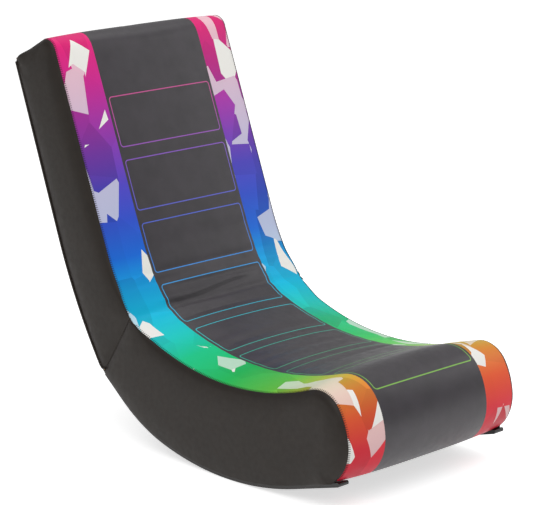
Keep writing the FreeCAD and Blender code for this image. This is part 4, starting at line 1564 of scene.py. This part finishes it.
@dataclass
class Linings:
    """Stretched cloths that close the rear, the two stop faces and the underside."""

    lines: ChairLines
    finishes: Finishes
    thickness: float = 0.9 * MM
    cloth_corner: float = 1.2 * MM

    def build(self) -> list[bpy.types.Object]:
        """Models all four cloths."""
        return [self.rear(), self.stop(Body.SEAT), self.stop(Body.BACK), self.underside()]

    def declare(self, piece: bpy.types.Object, body: Body, node: str) -> bpy.types.Object:
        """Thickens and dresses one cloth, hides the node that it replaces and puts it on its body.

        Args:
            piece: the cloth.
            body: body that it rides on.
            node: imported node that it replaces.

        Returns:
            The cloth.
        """
        thicken(piece, self.thickness)
        self.finishes.dress(piece, "lining_cloth", "lining_cloth")
        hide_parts(node)
        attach(piece, body.value)
        return piece

    def rear(self) -> bpy.types.Object:
        """Rear cloth of the back, from the split to the top.

        Returns:
            The cloth.
        """
        line = self.lines.rear(self.cloth_corner)
        half = self.lines.body_half
        start = 0.2 * MM
        round_corner = (0.5 * MM, 1 * MM, 1.5 * MM, 2 * MM, 3 * MM, 7 * MM, 12 * MM)
        rows = stations(line.length, 12 * MM, round_corner, start)
        columns = stations(half, 20 * MM, (), -half)

        def place(across: float, along: float) -> Vector:
            """Point of the rear cloth, whose outside lies on the right of the line.

            Args:
                across: place across the chair.
                along: distance along the rear.

            Returns:
                The point.
            """
            far = line.length - along
            ends = smooth(along, 10 * MM, 80 * MM) * smooth(far, 10 * MM, 80 * MM)
            swell = 0.6 * MM * (1 - (across / half) ** 2) * ends
            return line.at(along, -(-0.2 * MM + swell), across)

        bm = laid_grid(columns, rows, place)
        bmesh.ops.reverse_faces(bm, faces=bm.faces[:])
        piece = mesh_object("back_rear_cloth", bm)
        flat = (2 * half, line.length - start)
        return self.declare(piece, Body.BACK, "back_rear_cover")

    def stop(self, body: Body) -> bpy.types.Object:
        """Cloth on one stop face, cut out round the hinge leaves.

        Args:
            body: body whose stop face it covers.

        Returns:
            The cloth.
        """
        line = self.lines.split()
        half = self.lines.body_half
        corner = (self.lines.rear(self.cloth_corner).at(0) - line.at(0)).length
        depth = corner if body is Body.BACK else self.lines.split_depth
        leaf_low = 38.0 * MM
        window = (75.5 * MM, 148.5 * MM)
        start = 12.5 * MM
        columns = [-half, -window[1], -window[0], window[0], window[1], half]
        rows = [start, leaf_low, depth]
        side = 1 if body is Body.BACK else -1

        def place(across: float, along: float) -> Vector:
            """Point of the cloth."""
            return line.at(along, side * 0.45 * MM, across)

        bm = laid_grid(columns, rows, place)
        cut = [face for face in bm.faces if window[0] < abs(face.calc_center_median().x) < window[1]
               and abs((face.calc_center_median() - line.at(0)).dot(heading_vector(line.heading))) < leaf_low]
        bmesh.ops.delete(bm, geom=cut, context="FACES")
        bmesh.ops.subdivide_edges(bm, edges=bm.edges[:], cuts=3, use_grid_fill=True)
        if body is Body.BACK:
            bmesh.ops.reverse_faces(bm, faces=bm.faces[:])
        area = sum(face.calc_area() for face in bm.faces)
        piece = mesh_object(f"{body.value}_stop_cloth", bm)
        node, rail = ("seat_rear_cover", "seat_hinge_rail") if body is Body.SEAT else (
            "back_bottom_cover", "back_hinge_rail")
        return self.declare(piece, body, node)

    def underside(self) -> bpy.types.Object:
        """Dust cloth under the seat, between the hem and the heel.

        Returns:
            The cloth.
        """
        line = self.lines.rocker()
        half = self.lines.body_half
        rise = 9.2 * MM
        low = next(place / 1000 for place in range(0, 400) if line.at(place / 1000, rise).y > self.hem_end())
        fold = self.lines.fold()
        high = SideCover.meeting(line, rise, (fold.y, fold.z), -self.lines.split_lean, line.length) - 3 * MM
        rows = stations(high, 14 * MM, (), low)

        def place(across: float, along: float) -> Vector:
            """Point of the dust cloth."""
            return line.at(along, rise, across)

        bm = laid_grid(stations(half, 30 * MM, (), -half), rows, place)
        bmesh.ops.reverse_faces(bm, faces=bm.faces[:])
        piece = mesh_object("seat_underside_cloth", bm)
        return self.declare(piece, Body.SEAT, "seat_dust_cloth")

    def hem_end(self) -> float:
        """Where the turned-under hem ends."""
        return self.lines.hem().start[0] + 1.0 * MM


@dataclass
class Piping:
    """Round cords along the rear side edges of the back."""

    lines: ChairLines
    finishes: Finishes
    radius: float = 1.9 * MM
    out: float = 0.6 * MM
    sunk: float = 1.0 * MM

    def build(self) -> list[bpy.types.Object]:
        """Models both cords.

        Returns:
            Right and left cord.
        """
        rear = self.lines.rear()
        low, high = 2 * MM, rear.length - 1 * MM
        count = 70
        places = [low + (high - low) * index / count for index in range(count + 1)]
        pieces = []
        for side in Side:
            across = side.value * (self.lines.side_half + self.out)
            line = [rear.at(place, self.sunk, across) for place in places]
            piece = tube(f"back_edge_piping_{side.name.lower()}", line, self.radius)
            self.finishes.dress(piece, "black_leatherette", "black_leatherette")
            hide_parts(f"back_piping_{side.name.lower()}")
            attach(piece, Body.BACK.value)
            pieces.append(piece)
        return pieces


@dataclass
class Structure:
    """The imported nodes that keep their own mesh: boards, rails, panels, hinges, runners and glides."""

    finishes: Finishes

    def dress(self, frame: dict) -> None:
        """Gives each node the finish of its slot in the record.

        Args:
            frame: the loaded part.
        """
        slots = {row["node"]: row["material_slot"] for row in frame["record"]["subparts"]}
        for name, node in frame["nodes"].items():
            self.finishes.dress(node, slots[name])


@dataclass
class Studio:
    """White studio: floor, backdrop, soft lamps, world light and the camera."""

    target: tuple[float, float, float] = (0.0, 0.0, 0.3)
    camera_place: tuple[float, float, float] = (-2.7540, -2.7653, 1.2787)
    azimuth: float = -45.08
    elevation: float = 13.78
    lens: float = 160.0
    floor_glow: float = 0.62
    sky: float = 0.5

    def build(self) -> None:
        """Makes the whole studio."""
        self.floor()
        self.world()
        self.lamps()
        self.camera()
        bpy.context.scene.view_settings.view_transform = "Standard"

    def floor(self) -> None:
        """White floor that keeps a soft shadow."""
        bm = bmesh.new()
        bmesh.ops.create_grid(bm, x_segments=1, y_segments=1, size=6.0)
        plane = mesh_object("studio_floor", bm)
        graph = Graph("white studio floor, matt")
        graph.tree.nodes.remove(graph.shader)
        seen = graph.add("LightPath").node.outputs
        glow = graph.add("Math", (seen["Is Camera Ray"], seen["Is Glossy Ray"]), operation="MAXIMUM")
        glow = graph.add("Math", (glow, seen["Is Transmission Ray"]), operation="MAXIMUM")
        lit = graph.add("BsdfDiffuse", {"Color": linear("#F2F2F2")})
        strength = graph.add("Math", (glow, self.floor_glow), operation="MULTIPLY")
        shine = graph.add("Emission", {"Color": (1, 1, 1, 1), "Strength": strength})
        graph.feed(graph.output.inputs["Surface"], graph.add("AddShader", (lit, shine)))
        plane.data.materials.append(graph.material)

    def world(self) -> None:
        """Even white surroundings, full white where they are seen."""
        world = bpy.data.worlds.new("studio_world")
        bpy.context.scene.world = world
        world.use_nodes = True
        tree = world.node_tree
        tree.nodes.clear()
        output, paths, either, pick = (tree.nodes.new("ShaderNode" + kind) for kind in (
            "OutputWorld", "LightPath", "Math", "MixShader"))
        either.operation = "MAXIMUM"
        for number, kind in enumerate(("Is Camera Ray", "Is Transmission Ray")):
            tree.links.new(paths.outputs[kind], either.inputs[number])
        tree.links.new(either.outputs[0], pick.inputs[0])
        for number, strength in enumerate((self.sky, 1.0), start=1):
            white = tree.nodes.new("ShaderNodeBackground")
            white.inputs["Color"].default_value = (1.0, 1.0, 1.0, 1.0)
            white.inputs["Strength"].default_value = strength
            tree.links.new(white.outputs[0], pick.inputs[number])
        tree.links.new(pick.outputs[0], output.inputs["Surface"])

    def lamps(self) -> None:
        """Large soft lamps above and at both sides."""
        for name, place, size, power in (("key_lamp", (-1.9, -1.6, 2.6), 2.2, 35.0),
                                         ("top_lamp", (0.6, 0.4, 3.0), 2.6, 26.0),
                                         ("side_lamp", (2.6, -1.2, 1.8), 2.0, 15.0)):
            lamp = bpy.data.lights.new(name, "AREA")
            lamp.size = size
            lamp.energy = power
            holder = bpy.data.objects.new(name, lamp)
            holder.location = place
            holder.rotation_euler = (Vector(self.target) - Vector(place)).to_track_quat("-Z", "Y").to_euler()
            bpy.context.scene.collection.objects.link(holder)

    def camera(self) -> None:
        """Camera at the photograph's viewpoint."""
        data = bpy.data.cameras.new("photo_camera")
        data.sensor_width = 36.0
        data.lens = self.lens
        holder = bpy.data.objects.new("photo_camera", data)
        holder.location = self.camera_place
        holder.rotation_euler = (math.radians(90 - self.elevation), 0.0, math.radians(self.azimuth))
        bpy.context.scene.collection.objects.link(holder)
        bpy.context.scene.camera = holder


def main() -> None:
    """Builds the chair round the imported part, then the studio."""
    logging.basicConfig(level=logging.INFO, format="%(message)s")
    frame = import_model()
    lines = ChairLines()
    finishes = Finishes().build()
    Structure(finishes).dress(frame)
    cover = PrintedCover(lines, finishes)
    pieces = [cover.build()]
    seat_sides = SideCover(lines, finishes, Body.SEAT, "seat_side_cover")
    back_sides = SideCover(lines, finishes, Body.BACK, "back_side_cover")
    pieces += seat_sides.build() + back_sides.build()
    pieces += FoldGusset(lines, finishes, seat_sides, back_sides).build()
    pieces += Stitching(lines, finishes).build(cover)
    pieces += Foam(lines, finishes).build(cover)
    pieces += Linings(lines, finishes).build()
    pieces += Piping(lines, finishes).build()
    for piece in pieces:
        LOG.info("%s: %d vertices", piece.name, len(piece.data.vertices))
    Studio().build()


if __name__ == "__main__":
    main()
